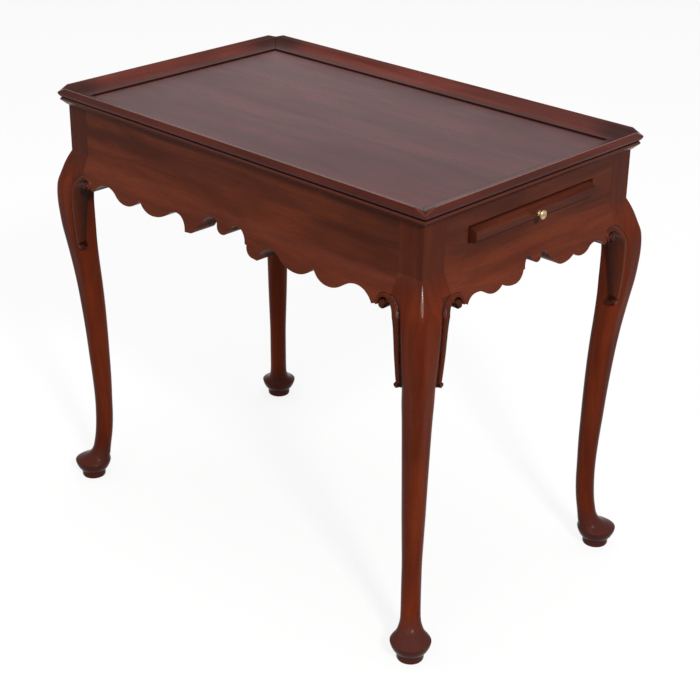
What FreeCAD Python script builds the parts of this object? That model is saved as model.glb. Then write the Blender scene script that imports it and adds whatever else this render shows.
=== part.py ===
import FreeCAD, Part
import math
import os

import Sketcher
from FreeCAD import Placement, Rotation, Vector

# Tray top tea table: a moulded tray on a frame of four cabriole legs and four scalloped
# aprons, with a candle slide that pulls out of each end.
# Millimetres, +Z up, origin on the floor under the middle of the top, +X to the right end.

DOC = FreeCAD.newDocument("TrayTopTeaTable")

# Driving sizes: alias, value in millimetres, what it is.
SIZES = [
    ("length", 762, "tray over its rim, left to right"),
    ("width", 465, "tray over its rim, front to back"),
    ("height", 686.5, "floor to the top of the rim"),
    ("rim_overhang", 12, "rim beyond the frieze faces"),
    ("rim_height", 16, "rim moulding above the tray board"),
    ("rim_width", 36, "rim moulding from its outside to its inner toe"),
    ("rim_fascia", 9, "upright outer face of the rim moulding"),
    ("rim_arris", 1.5, "flat on top of the rim moulding"),
    ("rim_toe", 2.4, "thickness left at the inner toe of the moulding"),
    ("rim_rebate", 0.5, "how far the rim moulding is let into the board"),
    ("rim_undercut", 5, "depth of the hollow under the fascia"),
    ("rim_cant", 14, "bevel across each upper corner of the rim, along the diagonal"),
    ("panel_thickness", 12, "tray board"),
    ("panel_inset", 2.8, "nose of the tray board inside the rim"),
    ("panel_nose_top", 3.2, "upper radius of the board's nose"),
    ("panel_bevel", 7.8, "bevel under the board's nose"),
    ("frieze_height", 74, "plain upright part of the aprons"),
    ("apron_thickness", 22, "apron board at the frieze"),
    ("apron_drop", 52, "crease under the frieze to the lowest scallop"),
    ("knee_bulge", 21, "how far knee and apron swell beyond the frieze face"),
    ("knee_drop", 78, "crease to the fullest part of the knee"),
    ("post_size", 42, "square post at the head of a leg"),
    ("knee_inner", 26, "inner side of the leg just under its post, from the frieze face"),
    ("tenon_length", 20, "apron tenon into the post"),
    ("tenon_thickness", 8, "apron tenon"),
    ("tenon_setback", 8, "frieze face to the tenon"),
    ("tenon_margin", 12, "case top to the tenon's upper edge"),
    ("tenon_height", 46, "apron tenon, up and down"),
    ("ankle_height", 138.5, "narrowest part of the leg above the floor"),
    ("ankle_radius", 14.4, "leg at the ankle"),
    ("ankle_setback", 25.4, "ankle centre inside the post's outer corner, along the diagonal"),
    ("foot_radius", 29.8, "pad foot at its arris"),
    ("foot_ledge", 0.5, "ledge that the pad foot's arris makes round the carved part above"),
    ("foot_setback", 1.2, "foot centre inside the post's outer corner, along the diagonal"),
    ("foot_arris", 30, "arris of the pad foot above the floor"),
    ("foot_base_radius", 19.8, "turned base under the pad foot"),
    ("foot_base_height", 12, "turned base under the pad foot"),
    ("foot_base_round", 1.6, "lower edge of the turned base"),
    ("foot_base_ledge", 1.4, "underside of the pad beyond the turned base"),
    ("foot_lip", 1.5, "upright edge of the pad under its arris"),
    ("scroll_setback", 52.5, "C-scroll centre from the post's outer face"),
    ("scroll_drop", 40, "crease to the C-scroll centre"),
    ("scroll_radius", 13, "outside of the C-scroll"),
    ("volute_radius", 6.8, "eye of the C-scroll"),
    ("curl_radius", 4.6, "small curl at the foot of the knee block"),
    ("curl_drop", 152, "crease to the centre of the small curl"),
    ("curl_rise", 2, "foot of the knee block beside the leg, above the centre of the curl"),
    ("block_edge", 29.5, "outer edge of the knee block from the post's outer face"),
    ("block_swell", 4.5, "knee block's face beyond the apron's, beside the lowest scallop"),
    ("block_scribe", 0.5, "upper edge of the knee block's face behind the apron's"),
    ("block_waist", 3.5, "how far the block's edge draws in above the curl"),
    ("block_depth", 11, "knee block behind the frieze face, at its top"),
    ("block_root", 12, "where the knee block runs into the leg, from the post's outer face"),
    ("block_toe", 16.5, "knee block at its foot, in front of the frieze face"),
    ("block_heel", 12, "thickness of the knee block at its foot"),
    ("slide_drop", 36.7, "case top to the middle of a slide"),
    ("slide_width", 240, "candle slide board"),
    ("slide_thickness", 11, "candle slide board"),
    ("slide_travel", 190, "how far a slide pulls out"),
    ("slide_stop_gap", 0.4, "slide's inner end to the middle rail"),
    ("slide_tongue", 10, "end of the slide board let into its front bar"),
    ("bar_length", 256, "front bar of a slide"),
    ("bar_height", 21, "front bar of a slide at the frieze"),
    ("bar_face", 11.5, "flat outer face of the front bar, up and down"),
    ("bar_proud", 10, "front bar outside the frieze face"),
    ("bar_inset", 12, "front bar inside the frieze face"),
    ("slot_gap", 3.8, "opening over the front bar"),
    ("slot_end_gap", 6, "opening at each end of the front bar"),
    ("slot_sill", 0.3, "opening under the front bar"),
    ("runner_thickness", 22, "grooved runner beside the slides"),
    ("runner_height", 36, "grooved runner"),
    ("runner_groove", 6, "depth of the groove that holds the slide's edge"),
    ("slide_play", 0.3, "running clearance of a slide in its grooves"),
    ("rail_thickness", 16, "middle rail between the two slides"),
    ("rail_height", 30, "middle rail between the two slides"),
    ("pin_radius", 4, "stop pin under a slide"),
    ("pin_length", 24, "stop pin under a slide"),
    ("knob_radius", 6.6, "brass knob"),
    ("knob_rim", 2.4, "thickness of the knob's disc"),
    ("knob_reach", 10.5, "bar face to the front of the knob"),
    ("knob_neck", 2, "neck of the knob"),
    ("knob_crown", 0.4, "how far the knob's slightly domed face falls towards its edge"),
    ("knob_flat", 0.8, "domed face of the knob, share of its radius"),
    ("knob_edge", 0.6, "widest ring of the knob in front of its shoulder"),
    ("knob_shoulder", 0.86, "back of the knob's head, share of its radius"),
    ("knob_foot", 2.4, "narrowest place of the neck in front of the rose"),
    ("knob_flare", 0.9, "how much wider the neck is at the rose"),
    ("knob_shank", 1.6, "screw shank of the knob"),
    ("knob_shank_length", 14, "screw shank in the wood"),
    ("rose_radius", 3.8, "brass rose under the knob"),
    ("rose_thickness", 1.4, "brass rose under the knob"),
    ("corner_reach", 76, "corner block along each apron, from the frieze face"),
    ("corner_height", 44, "corner block"),
    ("cleat_size", 20, "square cleat under the tray board"),
    ("cleat_gap", 6, "cleat end to the corner block"),
    ("screw_radius", 2, "wood screw shank"),
    ("screw_head_radius", 4, "wood screw head"),
    ("screw_head_height", 2.4, "wood screw head"),
    ("screw_bite", 8, "how deep a cleat screw goes into the tray board"),
    ("corner_screw_bite", 18, "how deep a corner screw goes into the post"),
]

SHEET = DOC.addObject("Spreadsheet::Sheet", "Sizes")
for row, (alias, size, note) in enumerate(SIZES, start=1):
    SHEET.set(f"A{row}", alias)
    SHEET.set(f"B{row}", str(size))
    SHEET.set(f"C{row}", note)
    SHEET.setAlias(f"B{row}", alias)
DOC.recompute()

# Places that several pieces share, as expressions of the driving sizes.
HALF_X = "(Sizes.length / 2 - Sizes.rim_overhang)"
HALF_Y = "(Sizes.width / 2 - Sizes.rim_overhang)"
PANEL_TOP = "(Sizes.height - Sizes.rim_height)"
RIM_BED = f"({PANEL_TOP} - Sizes.rim_rebate)"
CASE_TOP = f"({PANEL_TOP} - Sizes.panel_thickness)"
CREASE = f"({CASE_TOP} - Sizes.frieze_height)"
SCALLOP_LOW = f"({CREASE} - Sizes.apron_drop)"
SCROLL_TOP = f"({CREASE} - Sizes.scroll_drop + Sizes.scroll_radius)"
SCROLL_CENTRE = f"({CREASE} - Sizes.scroll_drop)"
CURL_CENTRE = f"({CREASE} - Sizes.curl_drop)"
SLIDE_MIDDLE = f"({CASE_TOP} - Sizes.slide_drop)"
BULGE_RADIUS = "((Sizes.knee_bulge^2 + Sizes.knee_drop^2) / (2 * Sizes.knee_bulge))"
RUNNER_FACE = "(Sizes.slide_width / 2 + Sizes.slide_play - Sizes.runner_groove)"

# Each corner of the table: the front/back and left/right words, and the quarter turns that
# carry a leg drawn for the front left corner to it.
CORNERS = {
    "front_left": 0,
    "front_right": 1,
    "back_right": 2,
    "back_left": 3,
}
# Each side of the case: its quarter turns from the front.
SIDES = {"front": 0, "right": 1, "back": 2, "left": 3}

SUBPARTS = []


def size_of(expression):
    """The value in millimetres of an expression of the driving sizes."""
    return float(SHEET.evalExpression(expression))


def keep(piece, name):
    """Name a finished piece, and list it for the export."""
    piece.Label = name
    SUBPARTS.append(piece)
    return piece


def origin_plane(body, role):
    """One of a body's own three base planes."""
    return next(plane for plane in body.Origin.OriginFeatures if plane.Role == role)


def new_body(name):
    """An empty body with its own origin."""
    return DOC.addObject("PartDesign::Body", name)


def arc_between(start, end, radius, turn):
    """The arc from start to end that turns left (1) or right (-1) with this radius."""
    chord = end - start
    side = Vector(-chord.y, chord.x, 0).normalize() * turn
    rise = math.sqrt(max(radius**2 - (chord.Length / 2) ** 2, 0))
    centre = start + chord / 2 + side * rise
    first, last = (start, end) if turn > 0 else (end, start)
    angles = [math.atan2(p.y - centre.y, p.x - centre.x) for p in (first, last)]
    if angles[1] < angles[0]:
        angles[1] += 2 * math.pi
    circle = Part.Circle(centre, Vector(0, 0, 1), radius)
    return Part.ArcOfCircle(circle, angles[0], angles[1])


def sketch_outline(body, role, name, corners):
    """Draw closed outlines on one base plane of a body.

    A corner is (x, y, bend), with x and y as expressions. The edge that leaves it is straight
    when bend is 0, turns through bend degrees (left is positive) when it is a number, and is
    an arc of a given radius when it is (radius expression, 1 for left or -1 for right).
    """
    sketch = new_sketch(body, role, name)
    add_outline(sketch, corners)
    return sketch


def new_sketch(body, role, name):
    """An empty sketch on one of a body's base planes."""
    sketch = body.newObject("Sketcher::SketchObject", name)
    sketch.AttachmentSupport = [(origin_plane(body, role), "")]
    sketch.MapMode = "FlatFace"
    return sketch


def hold(sketch, kind, value, expression, *where):
    """Add a dimension to a sketch, and bind it to an expression of the driving sizes."""
    index = sketch.addConstraint(Sketcher.Constraint(kind, *where, value))
    sketch.setExpression(f"Constraints[{index}]", expression)


def add_outline(sketch, corners):
    """Add one closed outline of corners (x, y, bend) to a sketch."""
    points = [Vector(size_of(x), size_of(y), 0) for x, y, _ in corners]
    edges = []
    for index, (_, _, bend) in enumerate(corners):
        here = points[index]
        there = points[(index + 1) % len(points)]
        if bend == 0:
            edges.append((sketch.addGeometry(Part.LineSegment(here, there)), 1, 2))
            continue
        given = isinstance(bend, tuple)
        turn = bend[1] if given else math.copysign(1, bend)
        half_turn = 0 if given else math.radians(abs(bend)) / 2
        radius = size_of(bend[0]) if given else here.distanceToPoint(there) / (2 * math.sin(half_turn))
        edge = sketch.addGeometry(arc_between(here, there, radius, turn))
        edges.append((edge, 1, 2) if turn > 0 else (edge, 2, 1))
        if given:
            hold(sketch, "Radius", radius, bend[0], edge)
        else:
            sketch.addConstraint(Sketcher.Constraint("Angle", edge, 2 * half_turn))
    for index, (x, y, _) in enumerate(corners):
        edge, begin, _ = edges[index]
        before, _, finish = edges[index - 1]
        sketch.addConstraint(Sketcher.Constraint("Coincident", before, finish, edge, begin))
        hold(sketch, "DistanceX", points[index].x, x, -1, 1, edge, begin)
        hold(sketch, "DistanceY", points[index].y, y, -1, 1, edge, begin)


def add_circle(sketch, x, y, radius):
    """Add one circle to a sketch, held by its centre and its radius."""
    centre = Vector(size_of(x), size_of(y), 0)
    ring = sketch.addGeometry(Part.Circle(centre, Vector(0, 0, 1), size_of(radius)))
    hold(sketch, "Radius", size_of(radius), radius, ring)
    hold(sketch, "DistanceX", centre.x, x, -1, 1, ring, 3)
    hold(sketch, "DistanceY", centre.y, y, -1, 1, ring, 3)


def rectangle(low_x, low_y, high_x, high_y):
    """The four corners of an upright rectangle."""
    return [(low_x, low_y, 0), (high_x, low_y, 0), (high_x, high_y, 0), (low_x, high_y, 0)]


def pad(body, sketch, length, symmetric=False, reverse=False):
    """Raise a sketch into a solid, by a length given as an expression."""
    feature = body.newObject("PartDesign::Pad", sketch.Name + "_pad")
    feature.Profile = sketch
    feature.SideType = "Symmetric" if symmetric else "One side"
    feature.Reversed = reverse
    feature.setExpression("Length", length)
    sketch.Visibility = False
    return feature


def pocket_through(body, sketch):
    """Cut a sketch right through the body, both ways."""
    feature = body.newObject("PartDesign::Pocket", sketch.Name + "_cut")
    feature.Profile = sketch
    feature.Type = "ThroughAll"
    feature.SideType = "Symmetric"
    return feature


def revolve(body, sketch, axis):
    """Turn a sketch about one of its own two axes: H_Axis or V_Axis."""
    feature = body.newObject("PartDesign::Revolution", sketch.Name + "_turned")
    feature.Profile = sketch
    feature.ReferenceAxis = (sketch, [axis])
    feature.Angle = 360
    return feature


def place(piece, x="0", y="0", z="0", quarter_turns=0):
    """Turn a piece about the upright axis by quarter turns, and move it."""
    piece.Placement = Placement(Vector(), Rotation(Vector(0, 0, 1), 90 * quarter_turns))
    for axis, expression in (("x", x), ("y", y), ("z", z)):
        piece.setExpression(f".Placement.Base.{axis}", expression)
    return piece


def place_on_side(piece, side, half_x, half_y):
    """Carry a piece drawn for the front, with its face at y = 0, to one side of the case."""
    spots = {
        "front": ("0", f"-{half_y}"),
        "right": (half_x, "0"),
        "back": ("0", half_y),
        "left": (f"-{half_x}", "0"),
    }
    x, y = spots[side]
    return place(piece, x, y, quarter_turns=SIDES[side])


def place_on_corner(piece, corner):
    """Carry a piece drawn at the front left post's outer corner to one corner."""
    x = f"-{HALF_X}" if "left" in corner else HALF_X
    y = f"-{HALF_Y}" if "front" in corner else HALF_Y
    return place(piece, x, y, quarter_turns=CORNERS[corner])


def bulge_below(drop):
    """How far the swelling stands out of the frieze face, this far below the crease."""
    rest = f"(Sizes.knee_drop - {drop})"
    return f"(Sizes.knee_bulge - {BULGE_RADIUS} + sqrt({BULGE_RADIUS}^2 - {rest}^2))"


# ---------------------------------------------------------------- tray


def tray_panel():
    """The tray's board, with a nosed edge that shows under the rim."""
    body = new_body("tray_panel")
    half_x = "(Sizes.length / 2 - Sizes.panel_inset)"
    half_y = "(Sizes.width / 2 - Sizes.panel_inset)"
    outline = sketch_outline(
        body, "XY_Plane", "panel_outline", rectangle(f"-{half_x}", f"-{half_y}", half_x, half_y)
    )
    board = pad(body, outline, "Sizes.panel_thickness")
    board = soften(body, board, "Fillet", "upper_nose", size_of("Sizes.panel_thickness"))
    board.setExpression("Radius", "Sizes.panel_nose_top")
    board = soften(body, board, "Chamfer", "lower_nose", 0.0)
    board.setExpression("Size", "Sizes.panel_bevel")
    rim_rebate(body, half_x, half_y)
    place(body, z=CASE_TOP)
    screw_holes(body, "panel_screw_holes", cleat_screw_places(), "Sizes.screw_bite")
    return keep(body, "tray_panel")


def soften(body, base, kind, name, level):
    """Dress all the edges of a board that lie at one level with a fillet or a chamfer."""
    DOC.recompute()
    edges = [
        f"Edge{number}"
        for number, edge in enumerate(base.Shape.Edges, start=1)
        if all(abs(vertex.Z - level) < 1e-6 for vertex in edge.Vertexes)
    ]
    dressed = body.newObject(f"PartDesign::{kind}", name)
    dressed.Base = (base, edges)
    return dressed


def rim_rebate(body, half_x, half_y):
    """Sink the border of the board's top face a little, as a bed for the rim moulding."""
    toe = "Sizes.rim_width"
    field_x, field_y = f"(Sizes.length / 2 - {toe})", f"(Sizes.width / 2 - {toe})"
    border = rectangle(f"-({half_x} + 1)", f"-({half_y} + 1)", f"({half_x} + 1)", f"({half_y} + 1)")
    field = rectangle(f"-{field_x}", f"-{field_y}", field_x, field_y)
    sketch = sketch_outline(body, "XY_Plane", "rim_bed", border)
    add_outline(sketch, field)
    sketch.setExpression(".AttachmentOffset.Base.z", "Sizes.panel_thickness")
    sunk = body.newObject("PartDesign::Pocket", "rim_bed_cut")
    sunk.Profile = sketch
    sunk.setExpression("Length", "Sizes.rim_rebate")
    return sunk


def screw_holes(body, name, places, depth):
    """Drill blind pilot holes upwards from the body's level base plane."""
    sketch = new_sketch(body, "XY_Plane", name)
    for x, y in places:
        add_circle(sketch, x, y, "Sizes.screw_radius")
    holes = body.newObject("PartDesign::Pocket", name + "_drilled")
    holes.Profile = sketch
    holes.Reversed = True
    holes.setExpression("Length", depth)
    return holes


def rim_piece(side, run, cants):
    """One mitred length of rim moulding, with its share of the bevelled corners."""
    body = new_body(f"rim_{side}_stick")
    base = RIM_BED
    top = "Sizes.height"
    fascia_foot = f"({top} - Sizes.rim_fascia)"
    profile = [
        ("Sizes.rim_undercut", base, 0),
        ("Sizes.rim_width", base, 0),
        ("Sizes.rim_width", f"{PANEL_TOP} + Sizes.rim_toe", -42),
        ("Sizes.rim_arris", top, 0),
        ("0", top, 0),
        ("0", fascia_foot, 50),
    ]
    stick = pad(body, sketch_outline(body, "YZ_Plane", f"rim_{side}_profile", profile), run, True)
    stick.Label = f"rim_{side}_moulding"
    for end, sign in (("left", "-"), ("right", "")):
        tip = f"({run} / 2 + 1)"
        deep = "(2 * Sizes.rim_width)"
        inner = f"({run} / 2 - {deep})"
        corners = [(f"{sign}{tip}", "-1", 0), (f"{sign}{tip}", deep, 0), (f"{sign}{inner}", deep, 0)]
        mitre = sketch_outline(body, "XY_Plane", f"rim_{side}_{end}_mitre", corners)
        pocket_through(body, mitre)
    place_on_side(body, side, "(Sizes.length / 2)", "(Sizes.width / 2)")
    bevelled = DOC.addObject("Part::Cut", f"tray_rim_{side}")
    bevelled.Base = body
    bevelled.Tool = cants
    return keep(bevelled, f"tray_rim_{side}")


def corner_cants():
    """The wedges of wood that the bevels take off the rim's four upper corners."""
    reach = size_of("Sizes.rim_cant")
    drop = size_of("Sizes.rim_fascia")
    tilt = math.degrees(math.atan2(drop, reach))
    wide = 6 * reach
    overlap = reach
    wedges = []
    for corner, turns in CORNERS.items():
        wedge = DOC.addObject("Part::Box", f"cant_{corner}")
        wedge.Length = wide
        wedge.Width = wide
        wedge.Height = wide
        turn = Rotation(Vector(0, 0, 1), 90 * turns - 45)
        lean = Rotation(Vector(1, 0, 0), tilt)
        facing = turn.multiply(lean)
        x = size_of("Sizes.length / 2") * (-1 if "left" in corner else 1)
        y = size_of("Sizes.width / 2") * (-1 if "front" in corner else 1)
        apex = Vector(x, y, size_of("Sizes.height") - drop)
        wedge.Placement = Placement(
            apex + facing.multVec(Vector(-wide / 2, -overlap, 0)), facing
        )
        wedges.append(wedge)
    together = DOC.addObject("Part::MultiFuse", "corner_cants")
    together.Shapes = wedges
    return together


# ---------------------------------------------------------------- aprons

# Half of a scalloped edge, from the middle outwards: distance from the middle in millimetres
# on an apron of the drawn half span, height above the lowest scallop, bend of the next edge.
LONG_HALF_SPAN = 326.4
LONG_SCALLOPS = [
    (0, 16.5, 80),
    (14.3, 28.5, 0),
    (19, 33.5, -29),
    (34, 33, -54),
    (48.5, 16.5, 0),
    (52.5, 15.5, 78),
    (66, 1.3, 0),
    (77.5, 0.3, -85),
    (101, 22.2, -48),
    (119, 15, 34),
    (153, 4.3, 50),
    (185.5, 19, 55),
    (216, 3.8, 42),
    (243, 13.5, -90),
    (296.4, 4.7, 0),
]
SHORT_HALF_SPAN = 178.4
SHORT_SCALLOPS = [
    (0, 19.5, 70),
    (9.9, 26.5, 0),
    (13.5, 32.3, -69),
    (27.5, 17.5, 0),
    (31, 17, 67),
    (54, 3.6, 31),
    (77.7, 9.8, 37),
    (96, 3.8, 37),
    (114, 10, -39),
    (128, 14, -66),
    (149.5, 3.5, 0),
]


# The C-scroll's outer circle leaves the scalloped edge 22.6 degrees below its centre, at
# these shares of its radius sideways and down; from there to its top it turns this far.
SCROLL_OUT = "Sizes.scroll_radius * 12 / 13"
SCROLL_DOWN = "Sizes.scroll_radius * 5 / 13"
SCROLL_TURN = -112.62
# How far the waste of a sawn edge is drawn past the wood.
WASTE_SIDE = 5
WASTE_BELOW = 20


def scalloped_edge(half_span, scallops, drawn_half_span):
    """The lower edge of an apron, as a closed outline of the waste below it."""
    edge = []
    for distance, rise, bend in scallops:
        edge.append((f"({distance / drawn_half_span} * {half_span})", f"({SCALLOP_LOW} + {rise})", bend))
    outer = f"({half_span} + Sizes.post_size - Sizes.scroll_setback"
    edge.append((f"{outer} - {SCROLL_OUT})", f"({SCROLL_CENTRE} - {SCROLL_DOWN})", SCROLL_TURN))
    edge.append((f"{outer})", SCROLL_TOP, 0))
    side = f"({half_span} + {WASTE_SIDE})"
    edge.append((side, SCROLL_TOP, 0))
    mirrored = []
    bends = [bend for _, _, bend in edge]
    for index in range(len(edge) - 1, 0, -1):
        x, y, _ = edge[index]
        mirrored.append((f"-{x}", y, bends[index - 1]))
    floor = f"({SCALLOP_LOW} - {WASTE_BELOW})"
    below = [(side, floor, 0), (f"-{side}", floor, 0)]
    return mirrored + edge + below


def apron(side):
    """One apron: plain frieze above, swelling scalloped edge below, a tenon at each end."""
    long_side = side in ("front", "back")
    half_case = HALF_X if long_side else HALF_Y
    half_span = f"({half_case} - Sizes.post_size)"
    body = new_body(f"apron_{side}")
    foot = f"({SCALLOP_LOW} - 2)"
    section = [
        ("Sizes.apron_thickness", CASE_TOP, 0),
        ("0", CASE_TOP, 0),
        ("0", CREASE, (BULGE_RADIUS, 1)),
        (f"-{bulge_below('(Sizes.apron_drop + 2)')}", foot, 0),
        ("Sizes.apron_thickness", foot, 0),
    ]
    drawing = sketch_outline(body, "YZ_Plane", f"apron_{side}_section", section)
    pad(body, drawing, f"2 * {half_span}", True)
    scallops = LONG_SCALLOPS if long_side else SHORT_SCALLOPS
    drawn = LONG_HALF_SPAN if long_side else SHORT_HALF_SPAN
    waste = scalloped_edge(half_span, scallops, drawn)
    pocket_through(body, sketch_outline(body, "XZ_Plane", f"apron_{side}_scallops", waste))
    tenon_top = f"({CASE_TOP} - Sizes.tenon_margin)"
    tenon = rectangle(
        "Sizes.tenon_setback",
        f"({tenon_top} - Sizes.tenon_height)",
        "(Sizes.tenon_setback + Sizes.tenon_thickness)",
        tenon_top,
    )
    tenon_sketch = sketch_outline(body, "YZ_Plane", f"apron_{side}_tenons", tenon)
    pad(body, tenon_sketch, f"2 * ({half_span} + Sizes.tenon_length)", True)
    if not long_side:
        half_slot = "(Sizes.bar_length / 2 + Sizes.slot_end_gap)"
        slot = rectangle(
            f"-{half_slot}",
            f"({SLIDE_MIDDLE} - Sizes.bar_height / 2 - Sizes.slot_sill)",
            half_slot,
            f"({SLIDE_MIDDLE} + Sizes.bar_height / 2 + Sizes.slot_gap)",
        )
        pocket_through(body, sketch_outline(body, "XZ_Plane", f"apron_{side}_slot", slot))
    place_on_side(body, side, HALF_X, HALF_Y)
    return keep(body, f"apron_{side}")


# ---------------------------------------------------------------- legs

# Stations of the cabriole line. The knee's are below the crease in millimetres; the shin's
# are shares of the height from the ankle up to the last knee station; the foot's are shares
# of the height from the ankle down to the foot's arris. Offsets are along the diagonal from
# the post's outer corner: outer is outwards, inner is inwards. A knee station ends with the
# radius that its outer corner is rounded to.
KNEE_STATIONS = [(40, 22.9, 34, 5.5), (61, 26.9, 31.5, 9.5), (80, 27.5, 30.2, 11.5),
                 (104, 26, 30.2, 13), (127, 23.1, 30.6, 13), (147, 19.3, 30.8, 12), (169, 15.2, 31.7, 10)]
SHIN_STATIONS = [(0.917, 11.2, 33.1), (0.798, 6.2, 35.5), (0.643, 1.3, 37.8), (0.484, -2.8, 39.2),
                 (0.325, -6, 40), (0.166, -9.2, 40.5)]
DRAWN_BULGE = 21
DRAWN_ANKLE = (-11, 39.8)
# Share of the way down, share of the centre's move outwards, share of the radius's growth.
FOOT_STATIONS = [(0.17, 0.01, 0), (0.355, 0.05, 0), (0.54, 0.13, 0), (0.677, 0.23, 0.01),
                 (0.77, 0.31, 0.04), (0.834, 0.4, 0.12), (0.88, 0.5, 0.24), (0.917, 0.62, 0.37),
                 (0.945, 0.76, 0.56), (0.972, 0.9, 0.82)]
# The roundest that a section gets, and the least radius of its corners.
ROUND_LIMIT = 0.985
LEAST_RADIUS = 0.4
# The radii of the outer and the side corners are these powers of how far the leg is turned.
OUTER_POWER = 0.7
SIDE_POWER = 0.45


def rounded_square(low, high, outer, side, inner, level):
    """A square section with its faces parallel to the case, low to high on both axes.

    The three radii are those of the corner that points out of the table, of the two side
    corners and of the corner that points in.
    """
    corners = [(low, low, outer), (high, low, side), (high, high, inner), (low, high, side)]
    towards = [(1, 0), (0, 1), (-1, 0), (0, -1)]
    edges = []
    ends = []
    for index, (x, y, radius) in enumerate(corners):
        back = towards[index - 1]
        ahead = towards[index]
        start = Vector(x - back[0] * radius, y - back[1] * radius, level)
        end = Vector(x + ahead[0] * radius, y + ahead[1] * radius, level)
        centre = Vector(x + (ahead[0] - back[0]) * radius, y + (ahead[1] - back[1]) * radius, level)
        middle = centre + (Vector(x, y, level) - centre).normalize() * radius
        ends.append((start, middle, end))
    for index, (start, middle, end) in enumerate(ends):
        edges.append(Part.Arc(start, middle, end).toShape())
        edges.append(Part.LineSegment(end, ends[(index + 1) % 4][0]).toShape())
    return Part.Wire(edges)


def leg_section(level, outer, inner, turned, softness=None):
    """The section of a leg from its two diagonal offsets; turned is 0 for square, 1 for round.

    Softness is the outer corner's radius, where it is given by itself.
    """
    half = (outer + inner) / 2 / math.sqrt(2)
    corner_loss = math.sqrt(2) - 1
    for _ in range(12):
        radius_outer = softness or max(turned**OUTER_POWER * ROUND_LIMIT * half, LEAST_RADIUS)
        radius_side = max(turned**SIDE_POWER * ROUND_LIMIT * half, LEAST_RADIUS)
        low = -(outer + corner_loss * radius_outer) / math.sqrt(2)
        high = (inner + corner_loss * radius_side) / math.sqrt(2)
        half = (high - low) / 2
    return rounded_square(low, high, radius_outer, radius_side, radius_side, level)


def cabriole():
    """The shaped part of a leg, from the foot of its post to the arris of its pad foot."""
    crease = size_of(CREASE)
    head = size_of(SCROLL_TOP)
    ankle = size_of("Sizes.ankle_height")
    arris = size_of("Sizes.foot_arris")
    setback, radius = size_of("Sizes.ankle_setback"), size_of("Sizes.ankle_radius")
    ankle_outer, ankle_inner = radius - setback, radius + setback
    foot_setback = size_of("Sizes.foot_setback")
    foot_radius = size_of("Sizes.foot_radius - Sizes.foot_ledge")
    foot_outer, foot_inner = foot_radius - foot_setback, foot_radius + foot_setback
    head_outer = size_of(bulge_below(f"({CREASE} - {SCROLL_TOP})")) * math.sqrt(2)
    head_inner = size_of("Sizes.knee_inner") * math.sqrt(2)
    swell = size_of("Sizes.knee_bulge") / DRAWN_BULGE
    stations = [(head, head_outer, head_inner, LEAST_RADIUS)]
    stations += [(crease - drop, outer * swell, inner, soft) for drop, outer, inner, soft in KNEE_STATIONS]
    knee_foot = stations[-1][0]
    for share, outer, inner in SHIN_STATIONS:
        level = ankle + share * (knee_foot - ankle)
        outer += (ankle_outer - DRAWN_ANKLE[0]) * (1 - share)
        inner += (ankle_inner - DRAWN_ANKLE[1]) * (1 - share)
        stations.append((level, outer, inner, None))
    stations.append((ankle, ankle_outer, ankle_inner, None))
    for share, out_share, in_share in FOOT_STATIONS:
        level = ankle + share * (arris - ankle)
        centre = ankle_inner - radius + (foot_setback - setback) * out_share
        grown = radius + (foot_radius - radius) * in_share
        stations.append((level, grown - centre, grown + centre, None))
    stations.append((arris, foot_outer, foot_inner, None))
    sections = []
    for level, outer, inner, softness in stations:
        turned = min(max((head - level) / (head - ankle) * 1.25, 0), 1)
        sections.append(leg_section(level, outer, inner, turned, softness))
    return Part.makeLoft(sections, True, False)


# Where the rounded side of a pad foot passes, as shares of its reach and of its height.
PAD_FULLNESS = (0.7, 0.42)


def pad_foot():
    """The turned underside of a pad foot, from its arris down to the floor."""
    arris, wide = size_of("Sizes.foot_arris"), size_of("Sizes.foot_radius")
    base, tall = size_of("Sizes.foot_base_radius"), size_of("Sizes.foot_base_height")
    soft, ledge = size_of("Sizes.foot_base_round"), size_of("Sizes.foot_base_ledge")
    setback = size_of("Sizes.foot_setback") / math.sqrt(2)
    lip = size_of("Sizes.foot_lip")
    corner = soft * (1 - math.sqrt(0.5))
    floor_edge, collar_foot = Vector(base - soft, 0, 0), Vector(base, 0, soft)
    collar_top, pad_low = Vector(base, 0, tall), Vector(base + ledge, 0, tall)
    reach = wide - base - ledge
    out, up = PAD_FULLNESS
    pad_side = Vector(base + ledge + reach * out, 0, tall + (arris - tall) * up)
    pad_high, top_edge = Vector(wide, 0, arris - lip), Vector(wide, 0, arris)
    edges = [
        Part.LineSegment(Vector(), floor_edge),
        Part.Arc(floor_edge, Vector(base - corner, 0, corner), collar_foot),
        Part.LineSegment(collar_foot, collar_top),
        Part.LineSegment(collar_top, pad_low),
        Part.Arc(pad_low, pad_side, pad_high),
        Part.LineSegment(pad_high, top_edge),
        Part.LineSegment(top_edge, Vector(0, 0, arris)),
        Part.LineSegment(Vector(0, 0, arris), Vector()),
    ]
    face = Part.Face(Part.Wire([edge.toShape() for edge in edges]))
    foot = face.revolve(Vector(), Vector(0, 0, 1), 360)
    foot.translate(Vector(setback, setback, 0))
    return foot


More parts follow.
